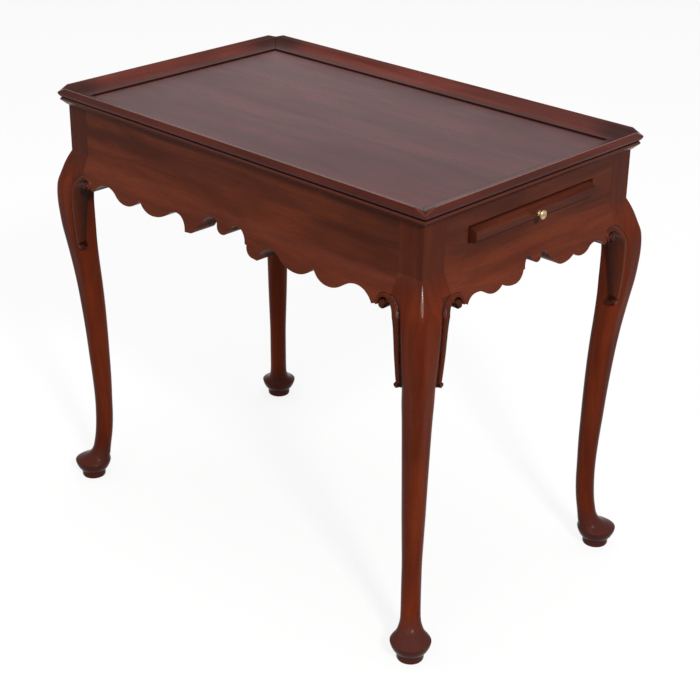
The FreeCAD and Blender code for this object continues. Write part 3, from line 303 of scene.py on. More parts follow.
@dataclass(frozen=True)
class StainedWood:
    """Red-brown stained wood under a satin lacquer.

    The figure is noise stretched along the grain: broad ribbons, fine fibres and short pores.
    """

    name: str
    deep: Colour
    warm: Colour
    grain: Grain = Grain.LENGTHWISE
    shade: Shade = Shade.NONE
    roughness: float = 0.26
    specular: float = 0.16
    figure: float = 0.75
    shift: Triple = (0.0, 0.0, 0.0)
    post: tuple[Colour, Colour] | None = None
    # A lighter colour painted on the flare below the crease, as painted light from above.
    flare: Colour | None = None
    bump: float = 0.12
    ior: float = 1.25

    def noise(self, bench: NodeBench, layer: Layer) -> bpy.types.NodeSocket:
        """One layer of noise, on object coordinates squeezed so that it runs out along the grain.

        Args:
            bench: The material's nodes.
            layer: The layer.

        Returns:
            The noise's value socket.
        """
        scale = [layer.across] * 3
        scale[self.grain.value] = layer.along
        place = bench.add("ShaderNodeTexCoord").outputs["Object"]
        links = {"Vector": place, "Scale": scale, "Location": self.shift}
        links = {
            "Vector": bench.add("ShaderNodeMapping", links).outputs[0],
            "Scale": 1.0,
            "Detail": layer.detail,
            "Roughness": 0.55,
            "Distortion": layer.warp,
        }
        return bench.add("ShaderNodeTexNoise", links).outputs[0]

    def painted_shade_mask(self, bench: NodeBench, size: TraySizes | None) -> bpy.types.NodeSocket | None:
        """Where shade is painted into the colour, from 0 to 1.

        Args:
            bench: The material's nodes.
            size: The tray's sizes.

        Returns:
            The mask's socket, or None where the piece has none.
        """
        if self.shade is Shade.NONE:
            return None
        if self.shade is Shade.CARVED:
            # The carving's painted shade is a point attribute of its mesh.
            return bench.add("ShaderNodeAttribute", attribute_name="painted_shade").outputs["Fac"]
        axes = bench.axes()
        across = bench.maths("SUBTRACT", bench.maths("ABSOLUTE", axes[0]), size.field_x)
        along = bench.maths("SUBTRACT", bench.maths("ABSOLUTE", axes[1]), size.field_y)
        nearest = bench.maths("MAXIMUM", across, along)
        if self.shade is Shade.RIM_TOE:
            # Painted shade up the rim's toe and into the corners of its inner slope.
            toe = bench.ramp(axes[2], *size.above_board(TOE_FADE))
            corner = bench.ramp(bench.maths("MINIMUM", across, along), *CORNER_FADE)
            corner = bench.maths("MULTIPLY", corner, bench.ramp(nearest, *CREST_FADE))
            return bench.maths("MAXIMUM", toe, corner)
        # Painted shade on the board's border along the rim's toe, fading out down the nose.
        upper = bench.ramp(axes[2], *size.above_board(NOSE_FADE))
        return bench.maths("MULTIPLY", bench.ramp(nearest, *BORDER_FADE), upper)

    def material(self, size: TraySizes | None = None) -> bpy.types.Material:
        """Build the node material.

        Args:
            size: The tray's sizes, for a piece with painted shade.

        Returns:
            The material.
        """
        bench = NodeBench(bpy.data.materials.new(self.name))
        layers = (RIBBONS, PATCHES, FIBRES, PORES)
        ribbons, patches, fibres, pores = (self.noise(bench, layer) for layer in layers)
        share = bench.ramp(ribbons, RIBBONS.low, RIBBONS.high, self.figure)
        colour = bench.mix(share, self.deep, self.warm)
        if self.post:
            level = bench.axes()[2]
            colour = bench.mix(bench.ramp(level, *POST_LEVELS), colour, bench.mix(share, *self.post))
            colour = bench.mix(bench.ramp(level, *FOOT_LEVELS, FOOT_SHARE), colour, FOOT_DARK)
        # Painted light: the upward-facing flare below the crease is coloured lighter, as if lit from above.
        if self.flare:
            lit = bench.ramp(bench.axes()[2], *FLARE_LIGHT_LEVELS, FLARE_LIGHT_SHARE)
            colour = bench.mix(lit, colour, self.flare)
        for value, layer in zip((patches, fibres, pores), layers[1:]):
            # The last layer's pits, the pores, also dent the surface below.
            pits = bench.ramp(value, layer.low, layer.high, layer.most)
            colour = bench.mix(pits, colour, scaled(self.deep, layer.light))
        if self.shade is Shade.TRAY_BORDER:
            edge = bench.ramp(bench.axes()[2], *size.above_board(EDGE_FADE))
            colour = bench.mix(edge, colour, BOARD_EDGE)
        # Painted shade: where the mask lies, the colour turns towards a darker copy of the deep stain.
        painted_shade = self.painted_shade_mask(bench, size)
        if painted_shade is not None:
            share = bench.maths("MULTIPLY", painted_shade, PAINTED_SHADE_SHARE)
            colour = bench.mix(share, colour, scaled(self.deep, PAINTED_SHADE_TONE))
        height = bench.maths("SUBTRACT", fibres, pits)
        links = {"Height": height, "Strength": self.bump, "Distance": 0.15 * MM}
        links = {
            "Base Color": colour,
            "Roughness": bench.spread(patches, self.roughness - 0.05, self.roughness + 0.07),
            "Normal": bench.add("ShaderNodeBump", links).outputs[0],
            "IOR": self.ior,
            "Specular IOR Level": self.specular,
        }
        return bench.surface(bench.add("ShaderNodeBsdfPrincipled", links))


@dataclass(frozen=True)
class CastMetal:
    """Brass or steel with a cloudy patina."""

    name: str
    bright: Colour
    dull: Colour
    roughness: float

    def material(self) -> bpy.types.Material:
        """Build the node material.

        Returns:
            The material.
        """
        bench = NodeBench(bpy.data.materials.new(self.name))
        place = bench.add("ShaderNodeTexCoord").outputs["Object"]
        cloud, scratch = (
            bench.add("ShaderNodeTexNoise", {"Vector": place, "Scale": scale, "Detail": detail}).outputs[0]
            for scale, detail in ((260.0, 4.0), (1800.0, 2.0))
        )
        links = {"Height": scratch, "Strength": 0.15, "Distance": 0.05 * MM}
        links = {
            "Base Color": bench.mix(bench.ramp(cloud, 0.42, 0.68), self.bright, self.dull),
            "Roughness": bench.spread(cloud, self.roughness - 0.06, self.roughness + 0.12),
            "Normal": bench.add("ShaderNodeBump", links).outputs[0],
            "Metallic": 1.0,
        }
        return bench.surface(bench.add("ShaderNodeBsdfPrincipled", links))


# Shared mesh work.


def new_piece(name: str, points: np.ndarray, faces: list[tuple[int, ...]]) -> bpy.types.Object:
    """Make a mesh object at the origin.

    Args:
        name: The piece's name.
        points: Its vertices in metres, one row each.
        faces: The vertex numbers of each face.

    Returns:
        The new object.
    """
    mesh = bpy.data.meshes.new(name)
    mesh.from_pydata(points.tolist(), [], faces)
    mesh.update()
    piece = bpy.data.objects.new(name, mesh)
    bpy.context.scene.collection.objects.link(piece)
    return piece


def dress(piece: bpy.types.Object, material: bpy.types.Material) -> None:
    """Give a piece one material.

    Args:
        piece: The piece.
        material: Its material.
    """
    if piece.material_slots:
        for held in piece.material_slots:
            held.material = material
    else:
        piece.data.materials.append(material)


def smooth_step(values: np.ndarray, start: float, end: float) -> np.ndarray:
    """Ease from 0 at start to 1 at end, as 3 t^2 - 2 t^3 of the share t.

    Args:
        values: The values.
        start: Where the result is 0.
        end: Where the result is 1.

    Returns:
        The eased shares.
    """
    t = np.clip((values - start) / (end - start), 0, 1)
    return t * t * (3 - 2 * t)


@dataclass(frozen=True)
class EasedArrises:
    """Copies of sawn pieces whose sharp edges are eased with sandpaper, as real ones are."""

    width: float = 0.6 * MM
    sharp: float = 30.0
    flat: float = 0.8

    def ease(self, node: str, body: str, slot: str = "show_wood") -> bpy.types.Object:
        """Make the eased copy of one node, which stands for it.

        Args:
            node: The node's name.
            body: The body that it rides on.
            slot: Not used.

        Returns:
            The copy.
        """
        source = bpy.data.objects[node]
        mesh = source.data.copy()
        mesh.materials.clear()
        work = bmesh.new()
        work.from_mesh(mesh)
        bmesh.ops.remove_doubles(work, verts=work.verts, dist=0.002 * MM)
        bmesh.ops.dissolve_limit(
            work, angle_limit=math.radians(self.flat), verts=work.verts, edges=work.edges, delimit={"NORMAL"}
        )
        work.to_mesh(mesh)
        work.free()
        mesh.shade_smooth()
        mesh.set_sharp_from_angle(angle=math.radians(self.sharp))
        piece = bpy.data.objects.new(f"{node}_eased", mesh)
        bpy.context.scene.collection.objects.link(piece)
        bevel = piece.modifiers.new("eased_arris", "BEVEL")
        bevel.width = self.width
        bevel.segments = 2
        bevel.limit_method = "ANGLE"
        bevel.angle_limit = math.radians(self.sharp)
        bevel.harden_normals = True
        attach(piece, body)
        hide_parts(node)
        return piece


# Sub-assemblies.


@dataclass(frozen=True)
class CaseSizes:
    """The frieze's outer faces and the arc by which the case swells below them, in millimetres."""

    half_length: float = 369.0
    half_width: float = 220.5
    top: float = 658.5
    crease: float = 584.5
    bulge: float = 21.0
    bulge_drop: float = 78.0

    def swelling(self, levels: np.ndarray | float) -> np.ndarray:
        """How far the swelling faces stand out of the frieze: an arc down to the fullest part.

        It is bulge - R + sqrt(R^2 - (bulge_drop - drop)^2), with the arc's radius R.

        Args:
            levels: Heights.

        Returns:
            The swelling at each height.
        """
        radius = (self.bulge**2 + self.bulge_drop**2) / (2 * self.bulge)
        rest = np.clip(self.bulge_drop - (self.crease - levels), 0, self.bulge_drop)
        return self.bulge - radius + np.sqrt(radius**2 - rest**2)

    def place(self, corner: str, x_in: np.ndarray, y_in: np.ndarray, z: np.ndarray) -> np.ndarray:
        """Turn distances in from a corner's frieze faces into points on the table.

        Args:
            corner: The corner's name.
            x_in: Distances in from the end's frieze.
            y_in: Distances in from the long side's frieze.
            z: Heights.

        Returns:
            The points in metres, one row each.
        """
        sign_x, sign_y = CORNERS[corner]
        x, y = sign_x * (self.half_length - x_in), sign_y * (self.half_width - y_in)
        return np.column_stack([x, y, z]) * MM


@dataclass
class Tray:
    """The tray board and its four lengths of rim moulding."""

    size: TraySizes = TraySizes()
    board: StainedWood = StainedWood(
        "tray_board_finish", (0.058, 0.014, 0.015), (0.12, 0.024, 0.023), shade=Shade.TRAY_BORDER,
        roughness=0.27, specular=0.15, figure=0.6, ior=1.35,
    )
    crest: StainedWood = StainedWood(
        "rim_crest_finish", (0.11, 0.03, 0.022), (0.16, 0.045, 0.035), roughness=0.24, specular=0.5, ior=1.5
    )
    easing: EasedArrises = EasedArrises()
    crest_facing: float = 0.95
    crest_drop: float = 0.3 * MM

    def build(self) -> None:
        """Dress the board and the rim, whose level crest has a finish of its own."""
        dress(bpy.data.objects["tray_panel"], self.board.material(self.size))
        crest = self.crest.material()
        for number, (side, grain) in enumerate(SIDES.items()):
            finish = StainedWood(
                f"rim_{side}_finish", (0.075, 0.014, 0.009), (0.15, 0.03, 0.02), grain, Shade.RIM_TOE,
                specular=0.2, shift=(0.7 * number, 0.3 * number, 0.1),
            )
            rim = self.easing.ease(f"tray_rim_{side}", "frame")
            dress(rim, finish.material(self.size))
            rim.data.materials.append(crest)
            for face in rim.data.polygons:
                level = face.normal.z > self.crest_facing
                high = face.center.z > self.size.rim_top - self.crest_drop
                face.material_index = int(level and high)
            LOG.info("rim moulding %s", side)


@dataclass
class Aprons:
    """The four scalloped aprons."""

    shifts: tuple[Triple, ...] = ((0.85, 0.2, 0.0), (1.3, 0.4, 0.9), (2.6, 0.8, 1.8), (3.9, 1.2, 2.7))
    easing: EasedArrises = EasedArrises()

    def build(self) -> None:
        """Dress the aprons."""
        for (side, grain), shift in zip(SIDES.items(), self.shifts):
            finish = StainedWood(
                f"apron_{side}_finish", APRON_DEEP, APRON_WARM, grain, shift=shift, flare=FLARE_PAINTED_LIGHT
            )
            dress(self.easing.ease(f"apron_{side}", "frame"), finish.material())
            LOG.info("apron %s", side)


@dataclass
class CabrioleLegs:
    """The four legs: a square post that swells into a knee and runs down to a turned pad foot.

    Sizes are in millimetres. A leg is drawn at the origin with its post's outer corner on the
    upright axis and its two inner faces towards +x and +y. Each station is a height and how far
    the leg reaches along the diagonal, outwards and inwards, from the post's outer corner.
    """

    case: CaseSizes = CaseSizes()
    scroll_top: float = 557.5
    post: float = 42.0
    post_arris: float = 0.4
    sharp_arris: float = 0.3
    knee_arris: float = 4.5
    knee_arris_run: float = 30.0
    inner_arris: float = 3.0
    least_round: float = 400.0
    roundness: float = 0.995
    rounding_rate: float = 1.25
    slimming: Spot = (440.0, 380.0)
    outer_power: Spot = (0.35, 0.9)
    side_power: Spot = (0.3, 0.45)
    side_run: Spot = (556.0, 544.0)
    inner_run: Spot = (395.0, 445.0)
    swelling_run: Spot = (530.0, 557.0)
    arc_points: int = 13
    side_points: int = 4
    foot_rows: int = 40
    head_rows: int = 12
    rounds: int = 12
    sharp: float = 24.0
    ankle: float = 138.5
    ankle_radius: float = 14.4
    ankle_setback: float = 25.4
    foot_setback: float = 1.2
    foot_radius: float = 29.8
    arris: float = 30.0
    polished: Spot = (544.0, 580.5)
    polish_facing: float = 0.86
    polish_fade: float = 11.0
    tones: tuple[float, ...] = (0.87, 1.03, 0.86, 1.25)
    knee: tuple[Triple, ...] = (
        (557.5, 17.0, 36.8), (544.5, 22.9, 34.0), (523.5, 27.2, 31.5), (504.5, 27.8, 30.2),
        (480.5, 26.0, 30.2), (457.5, 23.1, 30.6), (437.5, 19.3, 30.8), (415.5, 15.2, 31.7),
        (392.5, 11.2, 33.1), (359.5, 6.2, 35.5), (316.6, 1.3, 37.8), (272.6, -2.8, 39.2),
        (228.5, -6.0, 40.0), (184.5, -9.2, 40.5), (138.5, -11.0, 39.8),
    )
    dish: tuple[Triple, ...] = (
        (0.17, 0.01, 0.0), (0.355, 0.05, 0.0), (0.54, 0.13, 0.0), (0.677, 0.23, 0.01),
        (0.77, 0.31, 0.04), (0.834, 0.4, 0.12), (0.88, 0.5, 0.24), (0.917, 0.62, 0.37),
        (0.945, 0.76, 0.56), (0.972, 0.9, 0.82), (0.99, 0.97, 0.96),
    )
    turned_foot: tuple[Spot, ...] = (
        (29.8, 30.0), (29.8, 28.8), (29.1, 25.6), (27.6, 21.4), (25.2, 16.8), (22.6, 13.4), (21.2, 12.2),
        (20.2, 12.0), (19.9, 11.4), (19.8, 9.0), (19.8, 4.0), (19.6, 2.0), (18.9, 0.6), (17.8, 0.0),
    )
    step: float = 3.0

    @staticmethod
    def eased(levels: np.ndarray, heights: np.ndarray, values: np.ndarray) -> np.ndarray:
        """A cubic through stations, whose slope at each one is that of the line past it.

        Between two stations with the values p, q, the slopes m, n and the gap g, the value at
        the share t is (2t^3 - 3t^2 + 1) p + (t^3 - 2t^2 + t) g m + (3t^2 - 2t^3) q
        + (t^3 - t^2) g n.

        Args:
            levels: The heights wanted.
            heights: The stations' heights, rising.
            values: The stations' values.

        Returns:
            The value at each level.
        """
        slopes = np.gradient(values, heights)
        index = np.clip(np.searchsorted(heights, levels) - 1, 0, len(heights) - 2)
        gap = heights[index + 1] - heights[index]
        t = (levels - heights[index]) / gap
        first = (2 * t**3 - 3 * t**2 + 1) * values[index] + (t**3 - 2 * t**2 + t) * gap * slopes[index]
        second = (3 * t**2 - 2 * t**3) * values[index + 1] + (t**3 - t**2) * gap * slopes[index + 1]
        return first + second

    def shaft(self) -> np.ndarray:
        """The carved part of the leg, from the pad foot's arris to the crease.

        A section is a square with rounded corners. Its outer corner's radius and its other
        corners' radii grow down the leg until it is round at the ankle.

        Returns:
            Rows of height, low side, high side, and the outer, side and inner radii.
        """
        widening = self.foot_radius - self.ankle_radius
        setting_out = self.foot_setback - self.ankle_setback
        foot = []
        for share, out, grown in self.dish:
            radius = self.ankle_radius + widening * grown
            setback = self.ankle_setback + setting_out * out
            foot.append((self.ankle + share * (self.arris - self.ankle), radius - setback, radius + setback))
        last = (self.arris, self.foot_radius - self.foot_setback, self.foot_radius + self.foot_setback)
        stations = np.array(sorted([*self.knee, *foot, last]))
        levels = np.concatenate([
            np.linspace(self.arris, self.ankle, self.foot_rows),
            np.arange(self.ankle + self.step, self.scroll_top, self.step),
            [self.scroll_top - 0.01],
        ])
        outer = self.eased(levels, stations[:, 0], stations[:, 1])
        inner = self.eased(levels, stations[:, 0], stations[:, 2])
        turned = (self.scroll_top - levels) / (self.scroll_top - self.ankle) * self.rounding_rate
        turned = np.clip(turned, 0, 1)
        least = np.where(levels > self.least_round, self.knee_arrises(levels), 0)
        apart = np.clip((levels - self.side_run[0]) / (self.side_run[1] - self.side_run[0]), 0, 1)
        slim = smooth_step(levels, *self.slimming)
        outer_share, side_share = (
            turned ** (first + (last - first) * slim) * self.roundness
            for first, last in (self.outer_power, self.side_power)
        )
        knee = smooth_step(levels, *self.inner_run)
        loss, diagonal = math.sqrt(2) - 1, math.sqrt(2)
        half = (outer + inner) / 2 / diagonal
        # The radii depend on the width and the width on the radii, so both settle in a few rounds.
        for _ in range(self.rounds):
            outer_radius = np.maximum(outer_share * half, least)
            side_radius = np.maximum(side_share * half * apart, self.post_arris)
            inner_radius = side_radius + (np.minimum(side_radius, self.inner_arris) - side_radius) * knee
            low = -(outer + loss * outer_radius) / diagonal
            high = (inner + loss * inner_radius) / diagonal
            half = (high - low) / 2
        share = smooth_step(levels, *self.swelling_run)
        low = low * (1 - share) - self.case.swelling(levels) * share
        return np.column_stack([levels, low, high, outer_radius, side_radius, inner_radius])

    def knee_arrises(self, levels: np.ndarray) -> np.ndarray:
        """The least radius of the outer arris, which grows down from the crease.

        Args:
            levels: Heights.

        Returns:
            The radius at each height.
        """
        run = np.clip((self.case.crease - levels) / self.knee_arris_run, 0, 1)
        return self.post_arris + self.knee_arris * run

    def rows(self) -> np.ndarray:
        """Every section of the leg, from the floor to the case's top.

        Returns:
            Rows of height, low side, high side, and the outer, side and inner radii.
        """
        radius, height = np.array(self.turned_foot[::-1]).T
        middle = self.foot_setback / math.sqrt(2)
        round_foot = self.roundness * radius
        foot = np.column_stack([height, middle - radius, middle + radius, round_foot, round_foot, round_foot])
        knee = np.linspace(self.scroll_top, self.case.crease, self.head_rows)
        swell, arris = self.case.swelling(knee), self.knee_arrises(knee)
        square = np.full_like(knee, self.sharp_arris)
        head = np.column_stack([knee, -swell, np.full_like(knee, self.post), arris, square, square])
        section = [0.0, self.post, self.post_arris, self.sharp_arris, self.sharp_arris]
        post = np.array([[level, *section] for level in (self.case.crease + 1.5, self.case.top)])
        return np.concatenate([foot, self.shaft()[1:], head, post])

    def drawing(self) -> tuple[np.ndarray, list[tuple[int, ...]]]:
        """One leg's closed mesh at the origin.

        Each corner is an arc centre + r (cos a, sin a), and the straight sides lie between arcs.

        Returns:
            Its points in millimetres, and its faces.
        """
        height, low, high, outer, side, inner = (column[:, None] for column in self.rows().T)
        turn = np.linspace(0, math.pi / 2, self.arc_points)[None]
        corners = []
        for index, (x_side, y_side) in enumerate(((low, low), (high, low), (high, high), (low, high))):
            radius = (outer, side, inner, side)[index]
            x_in = np.where(x_side is low, 1, -1) * radius
            y_in = np.where(y_side is low, 1, -1) * radius
            angle = math.pi + index * math.pi / 2 + turn
            arc = [x_side + x_in + radius * np.cos(angle), y_side + y_in + radius * np.sin(angle)]
            corners.append(np.stack(arc, axis=-1))
        ring = []
        for index, arc in enumerate(corners):
            ahead = corners[(index + 1) % 4]
            share = (np.arange(1, self.side_points + 1) / (self.side_points + 1))[None, :, None]
            ring += [arc, arc[:, -1:] * (1 - share) + ahead[:, :1] * share]
        flat = np.concatenate(ring, axis=1)
        rows, around = flat.shape[:2]
        levels = np.broadcast_to(height[:, :, None], (rows, around, 1))
        points = np.concatenate([flat, levels], axis=2).reshape(-1, 3)
        row, spot = np.meshgrid(np.arange(rows - 1), np.arange(around), indexing="ij")
        here, there = row * around + spot, row * around + (spot + 1) % around
        quads = np.stack([here, there, there + around, here + around], axis=-1).reshape(-1, 4)
        faces = [tuple(quad) for quad in quads.tolist()]
        faces.append(tuple(range(around - 1, -1, -1)))
        faces.append(tuple(range((rows - 1) * around, rows * around)))
        return points, faces

    def polish(self, piece: bpy.types.Object, finish: StainedWood, outward: Vector) -> None:
        """Give the arris at the top of the knee the higher shine of wood that hands rub.

        Args:
            piece: The leg.
            finish: The leg's finish.
            outward: The level direction that the arris faces.
        """
        name = f"{finish.name}_rubbed"
        rubbed = replace(finish, name=name, specular=0.5, ior=1.5, roughness=0.24, bump=0.01)
        piece.data.materials.append(rubbed.material())
        low, high = self.polished
        for face in piece.data.polygons:
            level = face.center.z / MM
            if low < level < high and face.normal.xy.length > 0.5:
                facing = face.normal.xy.normalized().dot(outward)
                fading = max(0.0, 1 - (level - low) / self.polish_fade)
                least = self.polish_facing + (1 - self.polish_facing) * fading
                face.material_index = int(facing > least)

    def build(self) -> None:
        """Stand a leg at each corner."""
        drawn, faces = self.drawing()
        for number, (corner, (sign_x, sign_y)) in enumerate(CORNERS.items()):
            shell = faces if sign_x * sign_y > 0 else [tuple(reversed(face)) for face in faces]
            node = f"leg_{corner}"
            piece = new_piece(f"{node}_shaped", self.case.place(corner, *drawn.T), shell)
            piece.data.shade_smooth()
            piece.data.set_sharp_from_angle(angle=math.radians(self.sharp))
            tone = self.tones[number]
            deep, warm = scaled(LEG_DEEP, tone), scaled(LEG_WARM, tone)
            finish = StainedWood(
                f"{node}_finish", deep, warm, Grain.UPRIGHT,
                shift=(2.1 * number, 1.7 * number, 0.6 * number), roughness=0.25, specular=0.15,
                figure=0.6, bump=0.05, post=(APRON_DEEP, APRON_WARM),
            )
            dress(piece, finish.material())
            self.polish(piece, finish, Vector((sign_x, sign_y)).normalized())
            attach(piece, "frame")
            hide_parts(node)
            LOG.info("%s: %d faces", node, len(shell))


@dataclass
class KneeBlocks:
    """The eight scrolled blocks beside the knees, carved with a band that rolls into a volute.

    Sizes are in millimetres. On a block, u runs from the post's outer face along the apron, z
    is the height above the floor and depth is how far the carving stands out of the frieze.

    Each corner of the sawn outline has u, z and how many degrees the edge ahead of it turns,
    left being positive. Each station of the band has u, z and the half width. Each dome, the
    volute's eye and the curl, has u, z, its radius, how far its rim lies under the crown, and
    its rise.
    """

    case: CaseSizes = CaseSizes()
    scroll_top: float = 557.5
    lowest: float = 427.9
    apron_drop: float = 52.0
    swell: float = 4.5
    start_drop: float = 0.5
    upper_bow: float = 0.6
    lower_bow: float = 2.05
    proud: float = 1.5
    scribe: float = 0.12
    hollow: float = 3.0
    hollow_run: Spot = (550.0, 524.0)
    groove: float = 1.1
    groove_out: float = 1.0
    groove_width: float = 1.1
    valley: float = 0.3
    valley_width: float = 0.4
    valley_run: Spot = (470.0, 510.0)
    ring: float = 2.6
    ring_share: float = 1.2
    ring_width: float = 0.95
    ring_reach: float = 1.7
    # Painted shade: the dark on and round each dome, and the level and depth over which the hollow and
    # grooves darken.
    dome_shade: float = 0.55
    dome_shade_reach: float = 1.3
    dark_level: float = 1.3
    dark_depth: float = 1.7
    back: float = 11.0
    toe: float = 16.5
    heel: float = 12.0
    step: float = 0.8
    row_step: float = 1.0
    clearance: float = 0.48
    sharp: float = 50.0
    sawn: tuple[Triple, ...] = (
        (12.0, 557.5, 0.0), (52.5, 557.5, -112.62), (64.5, 539.5, 0.0), (59.824, 539.984, -175.0),
        (47.006, 544.472, 0.0), (42.5, 546.5, 34.0), (32.0, 535.0, 12.0), (29.5, 524.5, 6.0),
        (26.0, 440.78, 0.0), (29.27, 436.594, -170.0), (25.912, 428.084, 0.0), (12.0, 434.5, 0.0),
    )
    domes: tuple[tuple[float, ...], ...] = ((53.5, 542.7, 5.0, 0.8, 2.2), (26.8, 432.5, 4.1, 1.0, 1.4))
    band: tuple[Triple, ...] = (
        (24.0, 437.0, 2.4), (23.9, 446.0, 2.7), (23.8, 462.0, 3.0), (23.9, 480.0, 3.5), (24.2, 503.0, 4.1),
        (25.7, 524.0, 4.5), (28.8, 537.0, 4.8), (35.6, 547.0, 4.4), (43.8, 552.4, 3.5), (52.6, 554.0, 3.1),
        (60.2, 550.6, 2.7), (62.9, 544.6, 2.3), (62.4, 540.4, 1.7),
    )

    @staticmethod
    def bent_run(start: Spot, end: Spot, degrees: float, count: int) -> np.ndarray:
        """Points of an arc from start up to, but not at, end.

        With the chord c and the turn t, the radius is c / (2 sin(t / 2)), and the point at the
        share k is the start plus the chord turned by (k - 1) t / 2 and scaled by
        sin(k t / 2) / sin(t / 2).

        Args:
            start: Where the arc begins.
            end: Where it ends.
            degrees: How far it turns; left is positive.
            count: How many points it gets.

        Returns:
            The points, one row each.
        """
        share = np.arange(count) / count
        chord = complex(end[0] - start[0], end[1] - start[1])
        half = math.radians(degrees) / 2
        turned = chord * np.exp(1j * half * (share - 1))
        spots = complex(*start) + turned * np.sin(half * share) / math.sin(half)
        return np.column_stack([spots.real, spots.imag])

    def outline(self) -> np.ndarray:
        """The block's sawn outline.

        Returns:
            Its points (u, z), clockwise from the top of the root.
        """
        runs = []
        for index, (u, z, bend) in enumerate(self.sawn):
            ahead = self.sawn[(index + 1) % len(self.sawn)][:2]
            length = math.dist((u, z), ahead)
            if bend:
                length *= 1 + abs(bend) / 360
                runs.append(self.bent_run((u, z), ahead, bend, max(int(length / self.step), 4)))
            else:
                share = np.arange(max(int(length / self.step), 1))[:, None]
                share = share / len(share)
                runs.append(np.array([u, z]) * (1 - share) + np.array(ahead) * share)
        return np.concatenate(runs)

    def crown(self, z: np.ndarray) -> np.ndarray:
        """How far the band's crown stands out of the frieze.

        It runs from the apron's face to the swell beside the lowest scallop, and on to the toe,
        in two bowed lines: the chord plus 4 s t (1 - t), with the bow s and the share t. It is
        never less than proud in front of the apron's face.

        Args:
            z: Heights.

        Returns:
            The depths.
        """
        flare = self.case.swelling
        top, shoulder = self.scroll_top, self.case.crease - self.apron_drop
        start, middle = flare(top) - self.start_drop, flare(shoulder) + self.swell
        upper = np.clip((top - z) / (top - shoulder), 0, 1)
        lower = np.clip((shoulder - z) / (shoulder - self.lowest), 0, 1)
        bow = 4 * self.upper_bow * upper * (1 - upper) + 4 * self.lower_bow * lower * (1 - lower)
        line = start + (middle - start) * upper + (self.toe - middle) * lower + bow
        return np.where(z > shoulder, np.maximum(line, flare(z) + self.proud), line)

    def centre_line(self) -> np.ndarray:
        """The band's centre line and half width, as a Catmull-Rom curve through its stations.

        Between b and c, with the neighbours a and d, the point at the share t is
        b + (c - a) t / 2 + (a - 2.5 b + 2 c - d / 2) t^2 + (1.5 (b - c) + (d - a) / 2) t^3.

        Returns:
            Rows of u, z and half width.
        """
        line = np.array(self.band)
        line = np.concatenate([2 * line[:1] - line[1:2], line, 2 * line[-1:] - line[-2:-1]])
        a, b, c, d = (line[shift : len(line) - 3 + shift, None] for shift in range(4))
        t = (np.arange(12) / 12)[None, :, None]
        curve = b + (c - a) * t / 2 + (a - 2.5 * b + 2 * c - d / 2) * t**2
        curve += (1.5 * (b - c) + (d - a) / 2) * t**3
        return np.concatenate([curve.reshape(-1, 3), line[-2:-1]])

    def carving(self, u: np.ndarray, z: np.ndarray) -> tuple[np.ndarray, np.ndarray]:
        """The carved face: how far it stands out of the frieze, and how much shade is painted on it.

        The ground is the apron's face above the band and a hollow below. Across the band, at
        the share q of its half width, it rises to the crown by (1 - q^4)^0.5. Each dome has a
        groove round it.

        Args:
            u: Distances along the apron.
            z: Heights above the floor.

        Returns:
            The depths, and the painted shade from 0 to 1.
        """
        line = self.centre_line()
        apart = np.hypot(u[:, None] - line[None, :, 0], z[:, None] - line[None, :, 1])
        nearest = (apart / line[None, :, 2]).argmin(axis=1)
        q = apart[np.arange(len(u)), nearest] / line[nearest, 2]
        outside = (q - 1) * line[nearest, 2]
        crown = self.crown(z)
        low = smooth_step(z, *self.hollow_run)
        ground = (self.case.swelling(z) - self.scribe) * (1 - low) + (crown - self.hollow) * low
        # Painted shade darkens the face where it lies below this level, in the hollow and the grooves.
        reference = ground + self.dark_level * low
        dome_shade = np.zeros_like(u)
        fading = np.clip((z - self.valley_run[0]) / (self.valley_run[1] - self.valley_run[0]), 0, 1)
        valley = self.valley * low * np.exp(-((q / self.valley_width) ** 2)) * fading
        depth = ground + (crown - ground) * np.sqrt(np.clip(1 - q**4, 0, 1)) - valley
        beside = (outside - self.groove_out) / self.groove_width
        depth -= np.where(q > 1, self.groove * np.exp(-(beside**2)), 0)
        for centre_u, centre_z, radius, sunk, rise in self.domes:
            share = np.hypot(u - centre_u, z - centre_z) / radius
            dome = crown - sunk + (rise - sunk) * np.sqrt(np.clip(1 - share**2, 0, 1))
            ring = self.ring * np.exp(-(((share - self.ring_share) * radius / self.ring_width) ** 2))
            depth = np.where(share < 1, dome, depth - np.where(share < self.ring_reach, ring, 0))
            # Painted shade darkens each dome and the groove round it.
            dome_shade = np.maximum(dome_shade, np.where(share < self.dome_shade_reach, self.dome_shade, 0))
        dark = np.clip((reference - depth) / self.dark_depth, 0, 1)
        return depth, np.maximum(dark, dome_shade)

